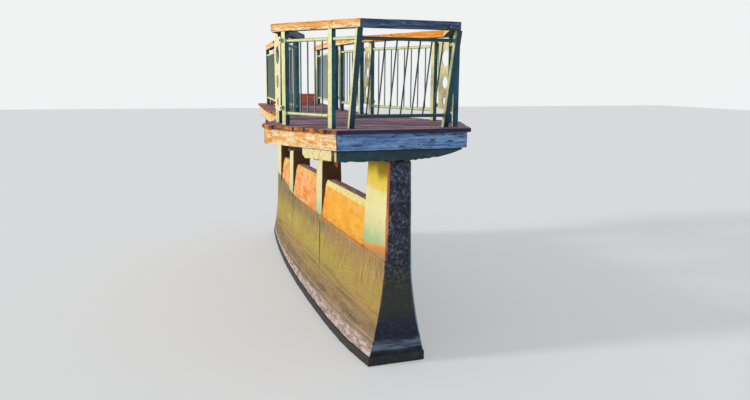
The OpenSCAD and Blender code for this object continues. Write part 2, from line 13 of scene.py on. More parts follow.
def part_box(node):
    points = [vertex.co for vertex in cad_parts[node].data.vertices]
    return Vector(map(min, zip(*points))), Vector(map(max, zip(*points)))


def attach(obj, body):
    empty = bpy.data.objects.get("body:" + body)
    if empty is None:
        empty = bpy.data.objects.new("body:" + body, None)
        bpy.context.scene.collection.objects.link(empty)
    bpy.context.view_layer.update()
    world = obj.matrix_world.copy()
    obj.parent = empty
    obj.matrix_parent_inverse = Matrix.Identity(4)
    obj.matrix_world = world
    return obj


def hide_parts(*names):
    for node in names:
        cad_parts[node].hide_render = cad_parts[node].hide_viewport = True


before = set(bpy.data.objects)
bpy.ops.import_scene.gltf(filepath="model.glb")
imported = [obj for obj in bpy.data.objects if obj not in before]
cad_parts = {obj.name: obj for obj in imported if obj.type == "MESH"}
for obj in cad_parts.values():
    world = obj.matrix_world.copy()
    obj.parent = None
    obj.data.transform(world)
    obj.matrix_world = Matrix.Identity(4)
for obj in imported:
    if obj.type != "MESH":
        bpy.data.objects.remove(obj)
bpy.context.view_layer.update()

log = logging.getLogger("pier")

BODY = "root"
MERGE_WITHIN = 2e-5
CUT_WITHIN = 1e-5
JOINT_WITHIN = 2e-4
SAME_WAY = 0.9999
FLAT_WITHIN = math.radians(0.6)
SMOOTH_WITHIN = math.radians(38)
SHARP_BOARD = math.radians(60)
SHARP_STEEL = math.radians(50)
ARRIS_PROFILE = 0.6
CORNER_FROM = 1.02
RELIEF_NOISE = (0.8, 2.1, 4)
CHIP_NOISE = (0.7, 2.2, 3)
CHIP_SCALE = 9.0
CHIP_SHIFT = Vector((7.3, 1.9, 4.1))
CHIP_FROM = 0.12
RAG_NOISE = (0.6, 2.3, 3)
RAG_SCALE = 21
RAG_LEAST = 0.35
RAG_REACH = 0.03
GRAIN_SHIFT = 60.0
GRAIN_STRETCH = (1.5, 38.0, 6.0)
HEAD_TAPER = 0.82
WASHER_SIDES = 18
WASHER_DEPTH = 0.3

Socket = bpy.types.NodeSocket
Material = bpy.types.Material
Mesh = bpy.types.Mesh
Tree = bpy.types.NodeTree
Inputs = dict[str | int, Any] | None
Colour = str | Socket
Value = float | Socket


def tone(code: str) -> tuple[float, float, float, float]:
    """Turn a written colour into the renderer's linear values.

    Args:
        code: Six hexadecimal digits, such as "8d8464".

    Returns:
        Red, green, blue and an alpha of one.
    """
    parts = [int(code[i:i + 2], 16) / 255 for i in (0, 2, 4)]
    linear = [p / 12.92 if p <= 0.04045 else ((p + 0.055) / 1.055) ** 2.4 for p in parts]
    return (*linear, 1.0)


# Plan of the deck and the railing


def cross(a: Vector, b: Vector) -> float:
    """Return the cross product of two plan vectors."""
    return a.x * b.y - a.y * b.x


def inset(outline: Sequence[Vector], d: float) -> list[Vector]:
    """Move a closed anticlockwise outline inwards.

    Args:
        outline: Corners in plan.
        d: Distance, where a negative one moves it outwards.

    Returns:
        The moved corners.
    """
    moved = []
    for i, corner in enumerate(outline):
        u = (corner - outline[i - 1]).normalized()
        v = (outline[(i + 1) % len(outline)] - corner).normalized()
        p = corner + d * Vector((-u.y, u.x))
        q = corner + d * Vector((-v.y, v.x))
        moved.append(p + u * cross(q - p, v) / cross(u, v))
    return moved


def reach_at(outline: Sequence[Vector], y: float) -> tuple[float, float]:
    """Find where a line across the plan meets an outline.

    Args:
        outline: Corners in plan.
        y: Place of the line.

    Returns:
        The lowest and the highest X on the line.
    """
    hits = []
    for i, a in enumerate(outline):
        b = outline[(i + 1) % len(outline)]
        if min(a.y, b.y) <= y <= max(a.y, b.y) and a.y != b.y:
            hits.append(a.x + (b.x - a.x) * (y - a.y) / (b.y - a.y))
    return min(hits), max(hits)


class Side(Enum):
    """The two sides of the deck, each with its corner numbers from the front to the end."""

    LEFT = (0, 9, 8, 7, 6)
    RIGHT = (1, 2, 3, 4, 5)


@dataclass(frozen=True)
class Plan:
    """Sizes of the deck's plan in metres, with Y = 0 at the fascia's front."""

    front: float = -3.370
    front_half: float = 0.740
    left_half: float = 1.290
    right_half: float = 1.115
    widest: float = 1.030
    walk_half: float = 0.600
    neck: float = 2.750
    bend: float = 4.100
    angle: float = math.radians(7)
    far: float = 2.950
    overhang: float = 0.045
    post_line: float = 0.118
    deck_top: float = 2.660
    plank: float = 0.044
    post_side: float = 0.058
    low_tube: float = 0.130
    high_tube: float = 0.912
    lean_half: float = 0.540
    lean_foot: float = 0.157
    lean_run: float = 0.274
    lean_rise: float = 1.010

    def past_bend(self, x: float, along: float) -> Vector:
        """Return the plan point of the walkway past its bend."""
        c, s = math.cos(self.angle), math.sin(self.angle)
        return Vector((x * c + along * s, self.bend + along * c - x * s))

    def fascia(self) -> list[Vector]:
        """Return the outline of the fascia's outer face.

        Returns:
            Its corners, anticlockwise from the front left one.
        """
        fold = self.walk_half * math.tan(self.angle / 2)
        w = self.walk_half
        return [
            Vector((-self.front_half, 0)), Vector((self.front_half, 0)),
            Vector((self.right_half, self.widest)), Vector((w, self.neck)),
            Vector((w, self.bend - fold)), self.past_bend(w, self.far),
            self.past_bend(-w, self.far), Vector((-w, self.bend + fold)),
            Vector((-w, self.neck)), Vector((-self.left_half, self.widest)),
        ]

    def posts(self, side: Side) -> list[Vector]:
        """Return the eight upright posts of a side from the front to the entrance, in plan.

        Args:
            side: Side of the deck.

        Returns:
            The posts' plan points.
        """
        foot = inset(self.fascia(), self.post_line)
        line = [foot[k] for k in side.value]
        steps = ((0, 1, 0.120), (1, 0, 0.190), (1, 2, 0.275), (2, 1, 0.160),
                 (2, 3, 0.160), (3, 2, 0.190), (3, 4, 0.190), (4, 3, 0.502))
        return [line[i] + d * (line[j] - line[i]).normalized() for i, j, d in steps]

    def stand_off(self, run: Vector, post_run: Vector) -> float:
        """Return how far the corner of a post turned along post_run stands off a line along run."""
        return self.post_side / 2 * (abs(run.dot(post_run)) + abs(cross(run, post_run)))

    def lean_at(self, rise: float) -> float:
        """Return the plan place of the leaning front railing at a height above the deck."""
        return self.lean_foot - self.lean_run * rise / self.lean_rise

    def spot(self, p: Vector, z: float) -> Vector:
        """Return a plan point in the frame's own coordinates."""
        return Vector((p.x, p.y + self.front, z))


PLAN = Plan()


# Node trees


class Graph:
    """Adds nodes to one tree and links them by socket name."""

    def __init__(self, tree: Tree) -> None:
        """Keep the tree that the nodes go into."""
        self.tree = tree

    @staticmethod
    def pick(sockets: Any, key: str | int) -> Socket:
        """Return a socket by its number, or the one in use that has the name.

        Args:
            sockets: The inputs of a node.
            key: Number or name.

        Returns:
            The socket.
        """
        if isinstance(key, int):
            return sockets[key]
        return next(s for s in sockets if s.name == key and s.enabled)

    def feed(self, socket: Socket, value: Any) -> None:
        """Link a node or a socket to an input, or set a plain value on it.

        Args:
            socket: The input.
            value: A node, an output socket, a written colour or a plain value.
        """
        if isinstance(value, bpy.types.Node):
            value = next(s for s in value.outputs if s.enabled)
        if isinstance(value, Socket):
            self.tree.links.new(value, socket)
        elif isinstance(value, str) and socket.type == "RGBA":
            socket.default_value = tone(value)
        else:
            socket.default_value = value

    def add(self, kind: str, inputs: Inputs = None, **settings: Any) -> bpy.types.Node:
        """Add one node.

        Args:
            kind: The node's type.
            inputs: What goes into its sockets.
            settings: The node's own options.

        Returns:
            The node.
        """
        node = self.tree.nodes.new(kind)
        for key, value in settings.items():
            setattr(node, key, value)
        for key, value in (inputs or {}).items():
            self.feed(self.pick(node.inputs, key), value)
        return node

    def out(self, kind: str, inputs: Inputs = None, **settings: Any) -> Socket:
        """Add one node and return its first output in use."""
        node = self.add(kind, inputs, **settings)
        return next(s for s in node.outputs if s.enabled)

    def calc(self, operation: str, a: Value, b: Value = 0.0, clamp: bool = False) -> Socket:
        """Return the result of one sum on two numbers."""
        return self.out("ShaderNodeMath", {0: a, 1: b}, operation=operation, use_clamp=clamp)

    def plus(self, a: Value, b: Value) -> Socket:
        """Return the sum of two numbers."""
        return self.calc("ADD", a, b)

    def less(self, a: Value, b: Value) -> Socket:
        """Return the first number less the second."""
        return self.calc("SUBTRACT", a, b)

    def times(self, a: Value, b: Value) -> Socket:
        """Return the product of two numbers."""
        return self.calc("MULTIPLY", a, b)

    def split(self, vector: Any) -> list[Socket]:
        """Return the three parts of a vector."""
        return list(self.add("ShaderNodeSeparateXYZ", {0: vector}).outputs)


class Surface(Graph):
    """The node tree of one material, with the patterns that the finishes share."""

    def __init__(self, name: str) -> None:
        """Start an empty material that knows where it is and which way it faces.

        Args:
            name: The material's name.
        """
        self.material = bpy.data.materials.new(name)
        self.material.use_nodes = True
        super().__init__(self.material.node_tree)
        self.tree.nodes.clear()
        self.place = self.add("ShaderNodeTexCoord").outputs["Object"]
        self.x, self.y, self.z = self.split(self.place)
        normal = self.add("ShaderNodeNewGeometry").outputs["Normal"]
        self.nx, self.ny, self.nz = self.split(normal)
        self.grain = self.add("ShaderNodeAttribute", attribute_name="grain").outputs["Vector"]

    def cloud(self, scale: float, detail: float = 3.0, rough: float = 0.55, at: Any = None,
              stretch: tuple[float, float, float] | None = None, warp: float = 0.0) -> Socket:
        """Return an uneven pattern between 0 and 1.

        Args:
            scale: Patches in a metre.
            detail: How many finer layers it has.
            rough: How strong the finer layers are.
            at: Coordinates, where none means the place on the object.
            stretch: How much denser it is along each axis.
            warp: How far it is distorted.

        Returns:
            The pattern's value.
        """
        at = self.place if at is None else at
        if stretch is not None:
            at = self.out("ShaderNodeMapping", {"Vector": at, "Scale": stretch})
        return self.out("ShaderNodeTexNoise", {"Vector": at, "Scale": scale, "Detail": detail,
                                               "Roughness": rough, "Distortion": warp})

    def fit(self, value: Value, low: float, high: float, to_low: float = 0.0, to_high: float = 1.0) -> Socket:
        """Return a value eased from one range to another.

        Args:
            value: The value.
            low: Start of its range.
            high: End of its range.
            to_low: What the start becomes.
            to_high: What the end becomes.

        Returns:
            The eased value.
        """
        if low > high:
            low, high, to_low, to_high = high, low, to_high, to_low
        return self.out("ShaderNodeMapRange", {"Value": value, "From Min": low, "From Max": high,
                                               "To Min": to_low, "To Max": to_high},
                        interpolation_type="SMOOTHSTEP")

    def both(self, a: Value, b: Value) -> Socket:
        """Return the share where two masks overlap."""
        return self.calc("MULTIPLY", a, b, clamp=True)

    def gap(self, a: Value, b: Value) -> Socket:
        """Return how far two numbers are apart."""
        return self.calc("ABSOLUTE", self.less(a, b))

    def raised(self, value: Value, pattern: Value, strength: float) -> Socket:
        """Return a value with a share of a pattern added to it."""
        return self.plus(value, self.times(pattern, strength))

    def uneven(self, value: Value, pattern: Value, swing: float) -> Socket:
        """Return a value that a pattern sways to either side, over a swing in all."""
        return self.raised(value, self.less(pattern, 0.5), swing)

    def blend(self, share: Value, a: Colour, b: Colour) -> Socket:
        """Return colour a with the given share of colour b over it."""
        return self.out("ShaderNodeMix", {"Factor": share, "A": a, "B": b}, data_type="RGBA")

    def over(self, base: Colour, coat: Colour, *masks: Value) -> Socket:
        """Return a colour with a coat over it, where all the masks overlap.

        Args:
            base: The colour below.
            coat: The coat's colour.
            masks: Shares of the coat.

        Returns:
            The colour.
        """
        share = masks[0]
        for mask in masks[1:]:
            share = self.both(share, mask)
        return self.blend(share, base, coat)

    def ramp(self, value: Value, stops: Sequence[tuple[float, str]]) -> Socket:
        """Return the colour that a value has on a ramp of written colours.

        Args:
            value: The value.
            stops: Place and written colour of each stop, in order.

        Returns:
            The colour.
        """
        node = self.add("ShaderNodeValToRGB", {"Fac": value})
        points = node.color_ramp.elements
        while len(points) < len(stops):
            points.new(0.5)
        for point, (at, _) in zip(points, stops):
            point.position = at
        for point, (_, code) in zip(points, stops):
            point.color = tone(code)
        return node.outputs["Color"]

    def levels(self, value: Value, low: float, high: float, stops: Sequence[tuple[float, str]]) -> Socket:
        """Return the colour on a ramp whose stops are given in the value's own units."""
        share = self.out("ShaderNodeMapRange", {"Value": value, "From Min": low, "From Max": high})
        return self.ramp(share, [((at - low) / (high - low), code) for at, code in stops])

    def lines(self, pattern: Value, width: float) -> Socket:
        """Return thin lines where a pattern crosses its middle."""
        return self.fit(self.gap(pattern, 0.5), width, width * 0.35)

    def finish(self, colour: Colour, rough: Value, relief: Value, depth: float,
               metal: float = 0.0) -> Material:
        """Close the tree with its shader.

        Args:
            colour: The surface's colour.
            rough: Its roughness.
            relief: Height of its fine relief, from 0 to 1.
            depth: Depth of that relief in metres.
            metal: Share of bare metal.

        Returns:
            The material.
        """
        bump = self.add("ShaderNodeBump", {"Height": relief, "Distance": depth, "Strength": 1.0})
        shader = self.add("ShaderNodeBsdfPrincipled", {"Base Color": colour, "Roughness": rough,
                                                       "Metallic": metal, "Normal": bump})
        self.add("ShaderNodeOutputMaterial", {"Surface": shader})
        return self.material


# Finishes


class PierPart(Enum):
    """The parts of the pier that weather in their own way."""

    PLINTH = "plinth"
    SHAFT = "shaft"
    FRONT_COLUMN = "front_column"
    COLUMN = "column"
    PANEL = "panel"


@dataclass(frozen=True)
class PierConcrete:
    """Old cast concrete: dark aggregate at the front with painted shade over it, lichen and cream above, a
    pale band of painted light below.
    """

    part: PierPart
    pier_front: float = -3.25
    joint_at: float = -0.51
    joint_slant: float = 3.4
    foot: float = 1.2
    plinth: float = 0.11
    top: float = 2.3
    wall_half: float = 0.16
    top_half: float = 0.1375
    front_half: float = 0.329
    flare_power: float = 1.6
    sill: float = 1.735
    bevel: float = 0.085
    rise_from: float = 0.5
    rise_to: float = 2.45
    rise: float = 0.2
    rise_power: float = 1.8

    def front_face(self, s: Surface) -> Colour:
        """Return the dark speckled look of the flat front: its aggregate, darkened and blued with painted
        shade.

        Args:
            s: The material's nodes.

        Returns:
            The colour.
        """
        sway = s.uneven(s.z, s.cloud(4.0, 4.0), 0.12)
        base = s.levels(sway, 0.05, 2.4, [
            (0.11, "0c0d11"), (0.15, "1b1f2b"), (0.19, "55617a"), (0.25, "4a5468"), (0.29, "20243a"),
            (0.45, "262a42"), (0.60, "3c3f3b"), (0.95, "45473d"), (1.2, "3a3e4a"), (2.3, "444a5e")])
        upper = s.fit(s.z, 0.75, 1.30, 0.15, 1.0)
        zones = s.fit(s.cloud(5.0, 3.0), 0.35, 0.65, -0.03, 0.03)
        grit = s.plus(s.cloud(30.0, 4.0, 0.72, warp=0.4), zones)
        base = s.over(base, "161822", s.fit(grit, 0.50, 0.40), upper, 0.8)
        base = s.over(base, "8d95ab", s.fit(grit, 0.53, 0.63), upper, 0.7)
        streaks = s.cloud(6.0, 5.0, 0.7, stretch=(0.5, 1.0, 3.2), warp=0.5)
        wet = s.both(s.fit(s.z, 0.13, 0.17), s.fit(s.z, 0.32, 0.24))
        base = s.over(base, "8b9ab5", s.fit(streaks, 0.48, 0.60), wet, 0.75)
        specks = s.fit(s.cloud(60.0, 2.0, 0.5), 0.75, 0.80)
        return s.over(base, "aeb6c8", specks, 0.55)

    def face_half(self, s: Surface) -> Value:
        """Return half the front face's width at the surface's height.

        Args:
            s: The material's nodes.

        Returns:
            The half width in metres.
        """
        fall = s.calc("DIVIDE", s.less(self.foot, s.z), self.foot - self.plinth, clamp=True)
        flare = s.times(s.calc("POWER", fall, self.flare_power), self.front_half - self.wall_half)
        rise = s.calc("DIVIDE", s.less(s.z, self.foot), self.top - self.foot, clamp=True)
        batter = s.times(rise, self.wall_half - self.top_half)
        return s.less(s.plus(flare, self.wall_half), batter)

    def shaft_side(self, s: Surface) -> Colour:
        """Return the flare: a pale band of painted light at its foot, then brown, olive and grey zones with
        streaks.

        Args:
            s: The material's nodes.

        Returns:
            The colour, with the pale lit band at the foot and the open joint.
        """
        drift = s.raised(s.y, s.cloud(1.7), 1.6)
        to_rear = s.fit(drift, -1.8, 0.8)
        sway = s.uneven(s.z, s.cloud(5.0, 4.0), 0.14)
        front = s.levels(sway, 0.08, 1.22, [
            (0.10, "8f7b66"), (0.28, "8a7460"), (0.36, "6f5b45"), (0.47, "96784f"),
            (0.62, "ad9148"), (0.82, "b09840"), (0.98, "b29050"), (1.12, "aa8852"), (1.2, "b48a50")])
        rear = s.levels(sway, 0.08, 1.22, [
            (0.10, "75654a"), (0.24, "6a5b40"), (0.34, "78663f"), (0.45, "9f7f4a"),
            (0.58, "a8913f"), (0.78, "b5a33a"), (0.95, "a8973e"), (1.06, "8a7a4a"), (1.2, "7f6e4c")])
        base = s.blend(to_rear, front, rear)
        streaks = s.cloud(9.0, 6.0, 0.75, stretch=(1.0, 2.8, 0.32), warp=0.2)
        high = s.fit(s.z, 0.45, 0.9)
        base = s.over(base, "5c4d38", s.fit(streaks, 0.50, 0.62), high, 0.65)
        base = s.over(base, "d8b88a", s.fit(streaks, 0.46, 0.34), high, 0.5)
        grit = s.cloud(42.0, 5.0, 0.75)
        base = s.over(base, "dcc89a", s.fit(grit, 0.53, 0.63), 0.42)
        base = s.over(base, "574a34", s.fit(grit, 0.47, 0.37), 0.42)
        tan = s.fit(s.cloud(2.6, 4.0, 0.6, stretch=(1.0, 1.0, 1.6)), 0.46, 0.60)
        base = s.over(base, "a9854e", tan, 0.45)
        shelves = s.cloud(9.0, 3.0, 0.6, stretch=(0.12, 0.12, 3.4))
        low = s.both(s.fit(s.z, 0.24, 0.32), s.fit(s.z, 0.72, 0.5))
        base = s.over(base, "4f4330", s.fit(shelves, 0.5, 0.62), low, 0.5)
        base = s.over(base, "b39a80", s.fit(shelves, 0.46, 0.36), low, 0.22)
        # Painted light: a pale pinkish band where the flare's foot turns up to the sun, higher at the front,
        # with a ragged top edge.
        band_top = s.out("ShaderNodeMapRange", {"Value": s.y, "From Min": -3.25, "From Max": 2.5,
                                                "To Min": 0.262, "To Max": 0.172})
        lit_band_edge = s.cloud(9.0, 5.0, 0.65, stretch=(0.3, 0.3, 1.0))
        ragged = s.uneven(s.z, lit_band_edge, 0.07)
        over = s.less(ragged, band_top)
        line = s.fit(s.gap(over, 0.055), 0.012, 0.004)
        base = s.over(base, "bca18c", line, 0.5)
        lower_tone = s.ramp(s.cloud(14.0, 6.0, 0.75, stretch=(0.4, 0.4, 1.6)),
                      [(0.34, "6e5850"), (0.44, "9c857e"), (0.55, "c3aeaa"), (0.66, "e4d6d3")])
        base = s.blend(s.fit(over, 0.016, -0.024), base, lower_tone)
        rim = s.fit(s.raised(s.z, s.cloud(7.0, 5.0, 0.65), 0.16), 1.225, 1.275)
        rim = s.both(s.both(rim, 0.8), s.fit(s.y, 1.2, -0.9, 0.0, 1.0))
        base = s.over(base, "de9048", rim, s.fit(s.y, -2.75, -2.45, 0.3, 1.0))
        near = s.both(s.fit(s.y, -2.9, -3.1), s.fit(s.cloud(16.0, 3.0, stretch=(1, 3, 0.2)), 0.58, 0.64))
        base = s.over(base, "2c2620", near, high, 0.8)
        slant = s.times(s.less(self.wall_half, s.calc("ABSOLUTE", s.x)), self.joint_slant)
        crack = s.gap(s.y, s.plus(slant, self.joint_at))
        crack = s.both(s.fit(crack, 0.040, 0.012), s.fit(s.z, 0.42, 0.80, 0.15, 1.0))
        crack = s.both(s.both(crack, s.fit(s.z, 0.36, 0.44)), s.fit(s.z, 1.15, 1.11))
        return s.over(base, "26241c", crack, 0.85)

    def plinth_side(self, s: Surface) -> Colour:
        """Return the wet plinth: olive black with green weed and brown sediment, and a painted shadow along
        its top under the flare.

        Args:
            s: The material's nodes.

        Returns:
            The colour.
        """
        base = s.blend(s.fit(s.cloud(9.0, 5.0), 0.35, 0.65), "0b0906", "17140d")
        weed = s.both(s.fit(s.cloud(14.0, 5.0, 0.7), 0.5, 0.62), s.fit(s.z, 0.09, 0.02))
        base = s.over(base, "232b0f", weed, 0.6)
        # Painted shadow: the top of the plinth turns near black under the flare's ledge.
        return s.blend(s.fit(s.z, 0.085, 0.108), base, "0a0908")

    def column_side(self, s: Surface) -> Colour:
        """Return the pale limewashed cheeks of the columns, yellow with lichen at the top of the first.

        Args:
            s: The material's nodes.

        Returns:
            The colour.
        """
        sway = s.uneven(s.z, s.cloud(6.0, 4.0), 0.18)
        if self.part is PierPart.FRONT_COLUMN:
            base = s.levels(sway, 1.18, 2.32, [
                (1.2, "9ab884"), (1.38, "b2c892"), (1.52, "dcdba2"), (1.72, "f0eaac"), (1.93, "f3e9a2"),
                (1.99, "efd557"), (2.2, "f2cf36"), (2.3, "e2ae2a")])
            line = s.raised(s.z, s.fit(s.y, -3.25, -2.55, 0.0, 1.0), 0.09)
            line = s.uneven(line, s.cloud(20.0, 4.0), 0.03)
            low = s.levels(line, 1.18, 1.38, [
                (1.20, "b48a5f"), (1.27, "b08a58"), (1.325, "df8d42"), (1.36, "f29c40")])
            base = s.blend(s.fit(line, 1.368, 1.358), base, low)
        else:
            base = s.levels(sway, 1.18, 2.32, [
                (1.2, "aec598"), (1.3, "bccf9f"), (1.42, "dddaa6"), (1.8, "ece5b4"), (2.3, "e6daa0")])
        stain = s.fit(s.cloud(11.0, 5.0, 0.65), 0.56, 0.7)
        base = s.over(base, "b59f66", stain, 0.35)
        drips = s.both(s.fit(s.cloud(20.0, 3.0, stretch=(1, 1.6, 0.3)), 0.62, 0.68), s.fit(s.z, 2.1, 2.25))
        base = s.over(base, "4a3a1c", drips, 0.75)
        return base if self.part is PierPart.FRONT_COLUMN else self.risen_silt(s, base)

    def risen_silt(self, s: Surface, base: Colour) -> Colour:
        """Return a look with the shaft's silt drawn up over its foot, higher towards the rear.

        Args:
            s: The material's nodes.
            base: The look above the silt.

        Returns:
            The look with the silt over it.
        """
        ragged = s.times(s.less(s.cloud(12.0, 4.0), 0.5), 0.05)
        climb = s.calc("POWER", s.fit(s.y, self.rise_from, self.rise_to), self.rise_power)
        climb = s.times(climb, self.rise)
        edge = s.plus(s.less(s.z, climb), ragged)
        lower_tone = s.blend(s.fit(s.y, -0.6, 1.0, 0.0, 0.55), self.shaft_side(s), "857c56")
        return s.blend(s.fit(edge, self.foot + 0.015, self.foot - 0.005), base, lower_tone)

    def panel_side(self, s: Surface) -> Colour:
        """Return the orange lichen of the walls under a bevel, pale with a painted highlight.

        Args:
            s: The material's nodes.

        Returns:
            The colour.
        """
        patch = s.cloud(11.0, 6.0, 0.68, stretch=(1.0, 0.38, 1.0))
        base = s.ramp(patch, [(0.32, "db722a"), (0.44, "ee8a2c"), (0.54, "f79f36"), (0.68, "fcc077")])
        rear = s.fit(s.cloud(9.0, 5.0, 0.7, stretch=(1.0, 0.4, 1.0)), 0.42, 0.56)
        base = s.over(base, "f4c093", s.fit(s.y, -0.9, 0.9), rear, 0.8)
        base = s.blend(s.fit(s.y, -0.6, -0.9, 0.0, 0.45), base, "ffcb34")
        pale = s.fit(s.cloud(7.0, 5.0, 0.65), 0.44, 0.60)
        base = s.over(base, "fbc878", s.fit(s.z, 1.45, 1.62), pale, 0.6)
        low = s.fit(s.cloud(10.0, 5.0, 0.7), 0.4, 0.6)
        base = s.over(base, "bd7234", s.fit(s.z, 1.42, 1.2), low, 0.45)
        specks = s.fit(s.cloud(70.0, 2.0), 0.66, 0.72)
        base = self.risen_silt(s, s.over(base, "8a4a1c", specks, 0.55))
        # Painted highlight: the bevel under the sill is lit cream, strongest towards the front.
        edge = s.uneven(s.z, s.cloud(14.0, 4.0), 0.03)
        strip = s.fit(edge, self.sill - self.bevel - 0.006, self.sill - self.bevel + 0.004)
        strip = s.both(strip, s.fit(s.y, -0.55, -0.65, 0.08, 1.0))
        cream = s.blend(s.fit(s.cloud(15.0, 4.0), 0.5, 0.68), "f0e79c", "e2c47c")
        base = s.blend(strip, base, cream)
        top = s.fit(s.nz, 0.72, 0.9)
        sill = s.blend(s.fit(s.cloud(12.0, 5.0, stretch=(3, 0.5, 1)), 0.42, 0.6), "cf9ea0", "94656c")
        return s.blend(top, base, sill)

    def material(self) -> Material:
        """Return the finish as a material.

        Returns:
            The material.
        """
        s = Surface("concrete_" + self.part.value)
        look = {PierPart.PLINTH: self.plinth_side, PierPart.SHAFT: self.shaft_side,
                PierPart.FRONT_COLUMN: self.column_side, PierPart.COLUMN: self.column_side,
                PierPart.PANEL: self.panel_side}[self.part](s)
        # Mask of the faces turned to the front, which take painted shade; near the front it also takes in
        # level faces and those on the right.
        facing = s.fit(s.ny, -0.6, -0.8)
        near = s.fit(s.y, self.pier_front + 0.04, self.pier_front + 0.025)
        turned = s.calc("MAXIMUM", s.fit(s.calc("ABSOLUTE", s.nz), 0.4, 0.6), s.fit(s.x, 0.05, 0.10))
        facing = s.calc("MAXIMUM", facing, s.both(near, turned))
        if self.part in (PierPart.PLINTH, PierPart.SHAFT, PierPart.FRONT_COLUMN):
            # The front takes the dark aggregate look, with painted shade over it.
            look = s.blend(facing, look, self.front_face(s))
            half = self.face_half(s)
            edge = s.raised(s.plus(s.x, half), s.cloud(24.0), 0.012)
            if self.part is PierPart.FRONT_COLUMN:
                # Painted highlight: the sunlit salmon sliver along the left arris of the front column's face.
                sunlit_arris = s.both(s.fit(edge, 0.044, 0.028), s.fit(s.z, 1.24, 1.38, 0.3, 0.95))
                look = s.over(look, "ff8a5c", facing, sunlit_arris)
            # Painted highlight: a thin light blue line along the right arris of the front face.
            lit_right_arris = s.both(near, s.fit(s.less(s.x, half), -0.022, -0.014))
            if self.part is not PierPart.PLINTH:
                shown = s.both(s.fit(s.z, 0.20, 0.55, 0.2, 0.9), s.fit(s.z, 2.0, 1.3, 0.35, 1.0))
                look = s.over(look, "93afd8", lit_right_arris, shown)
        else:
            # Painted shade: the faces of the columns and walls turned to the front are dark brown.
            look = s.blend(facing, look, s.blend(s.cloud(8.0, 5.0), "4a2f1a", "7a5230"))
        if self.part in (PierPart.COLUMN, PierPart.FRONT_COLUMN):
            # Painted shade: the columns' faces turned to the rear are a duller olive.
            look = s.blend(s.fit(s.ny, 0.6, 0.8), look, "8f8460")
        # Painted shade: faces turned to the right, on the unlit side, darken to olive grey in patches.
        shade = s.both(s.fit(s.nx, 0.6, 0.85), s.fit(s.cloud(9.0, 5.0, 0.7), 0.36, 0.62, 0.35, 0.9))
        look = s.over(look, "5d6144", shade, 0.8)
        pits = s.cloud(120.0, 3.0, 0.6)
        relief = s.plus(s.times(pits, 0.5), s.cloud(28.0, 5.0, 0.65))
        rough = 0.6 if self.part is PierPart.PLINTH else 0.9
        return s.finish(look, rough, relief, 0.006)


class TimberTone(Enum):
    """Tones of the weathered timbers: lightest wood, wood, dark wood, old paint and crack. The orange tones
    carry painted sunlight and the blue ones painted shade.
    """

    # Painted sunlight: the lit orange wood with cream paint.
    WARM = ("ffd488", "ffb050", "e68e3a", "fff4cc", "7a4a1e")
    # Painted shade: the wood in the shade, sky blue.
    COOL = ("b0d4ff", "7caef0", "42659f", "c2d6f8", "121736")
    # Painted shade: a deeper slate blue.
    SLATE = ("7c9ac2", "46668a", "2a4060", "93acd0", "141a28")
    PINK = ("ffb8a2", "ff8a72", "e2624c", "ffc2aa", "7a3024")
    # Painted sunlight: a brighter orange.
    BRIGHT = ("ffc04c", "ff9f26", "dc7018", "ffd884", "5a3013")
    DARK = ("6b5540", "4f3d2c", "33271c", "7d6c55", "17110c")


@dataclass(frozen=True)
class Timber:
    """Weathered timber with open grain, long cracks and the last of its paint."""

    tone: TimberTone
    peel: float = 0.5
    paint_low: bool = False
    # A second tone in painted shade, for faces turned to the front and to the right.
    shade_tone: TimberTone | None = None
    scratches: float = 0.0

    def wood(self, s: Surface, shades: tuple[str, ...]) -> Colour:
        """Return wood in five given shades, with its grain, paint and cracks.

        Args:
            s: The material's nodes.
            shades: Written colours in the order of a TimberTone.

        Returns:
            The colour.
        """
        light, main, dark, paint, crack = shades
        fibre = s.cloud(3.0, 6.0, 0.7, at=s.grain, stretch=(0.7, 22.0, 22.0), warp=0.3)
        patch = s.cloud(5.0, 5.0, 0.65, at=s.grain, stretch=(1.0, 3.0, 3.0))
        base = s.ramp(fibre, [(0.34, dark), (0.48, main), (0.62, light)])
        base = s.over(base, dark, s.fit(patch, 0.56, 0.4), 0.4)
        flakes = s.cloud(9.0, 6.0, 0.75, at=s.grain, stretch=(1.0, 2.4, 2.4), warp=0.5)
        edge = s.plus(flakes, self.peel - 0.5)
        if self.paint_low:
            up = s.split(s.grain)[2]
            edge = s.less(edge, s.times(up, 3.2))
        base = s.over(base, paint, s.fit(edge, 0.50, 0.62), 0.9)
        knots = s.fit(s.cloud(2.2, 1.0, at=s.grain, stretch=(1.3, 5.0, 5.0)), 0.75, 0.79)
        base = s.over(base, crack, knots, 0.85)
        splits = s.lines(s.cloud(1.6, 3.0, 0.6, at=s.grain, stretch=(0.7, 9.0, 9.0), warp=0.6), 0.012)
        base = s.over(base, crack, splits, 0.85)
        if self.scratches:
            nicks = s.cloud(7.0, 5.0, 0.8, at=s.grain, stretch=(1.0, 5.0, 5.0), warp=0.8)
            base = s.blend(s.fit(nicks, 0.44 - self.scratches, 0.41 - self.scratches), base, crack)
            specks = s.cloud(34.0, 3.0, 0.6, at=s.grain)
            base = s.over(base, "e4ecfa", s.fit(specks, 0.68, 0.72), 0.8)
        return base

    def material(self) -> Material:
        """Return the finish as a material.

        Returns:
            The material.
        """
        name = "timber_" + self.tone.name.lower() + ("_low" if self.paint_low else "")
        if self.shade_tone:
            name += "_" + self.shade_tone.name.lower()
        s = Surface(name)
        look = self.wood(s, self.tone.value)
        if self.shade_tone:
            # Painted shade: faces turned to the front and to the right take the shade tone.
            shaded_faces = s.calc("MAXIMUM", s.fit(s.ny, -0.6, -0.82), s.fit(s.nx, 0.35, 0.65))
            look = s.blend(shaded_faces, look, self.wood(s, self.shade_tone.value))
        # Painted shade: the undersides darken to dark brown.
        look = s.blend(s.fit(s.nz, -0.5, -0.9), look, "3a2a20")
        fibre = s.cloud(4.0, 6.0, 0.75, at=s.grain, stretch=(0.7, 30.0, 30.0))
        return s.finish(look, 0.82, fibre, 0.004)


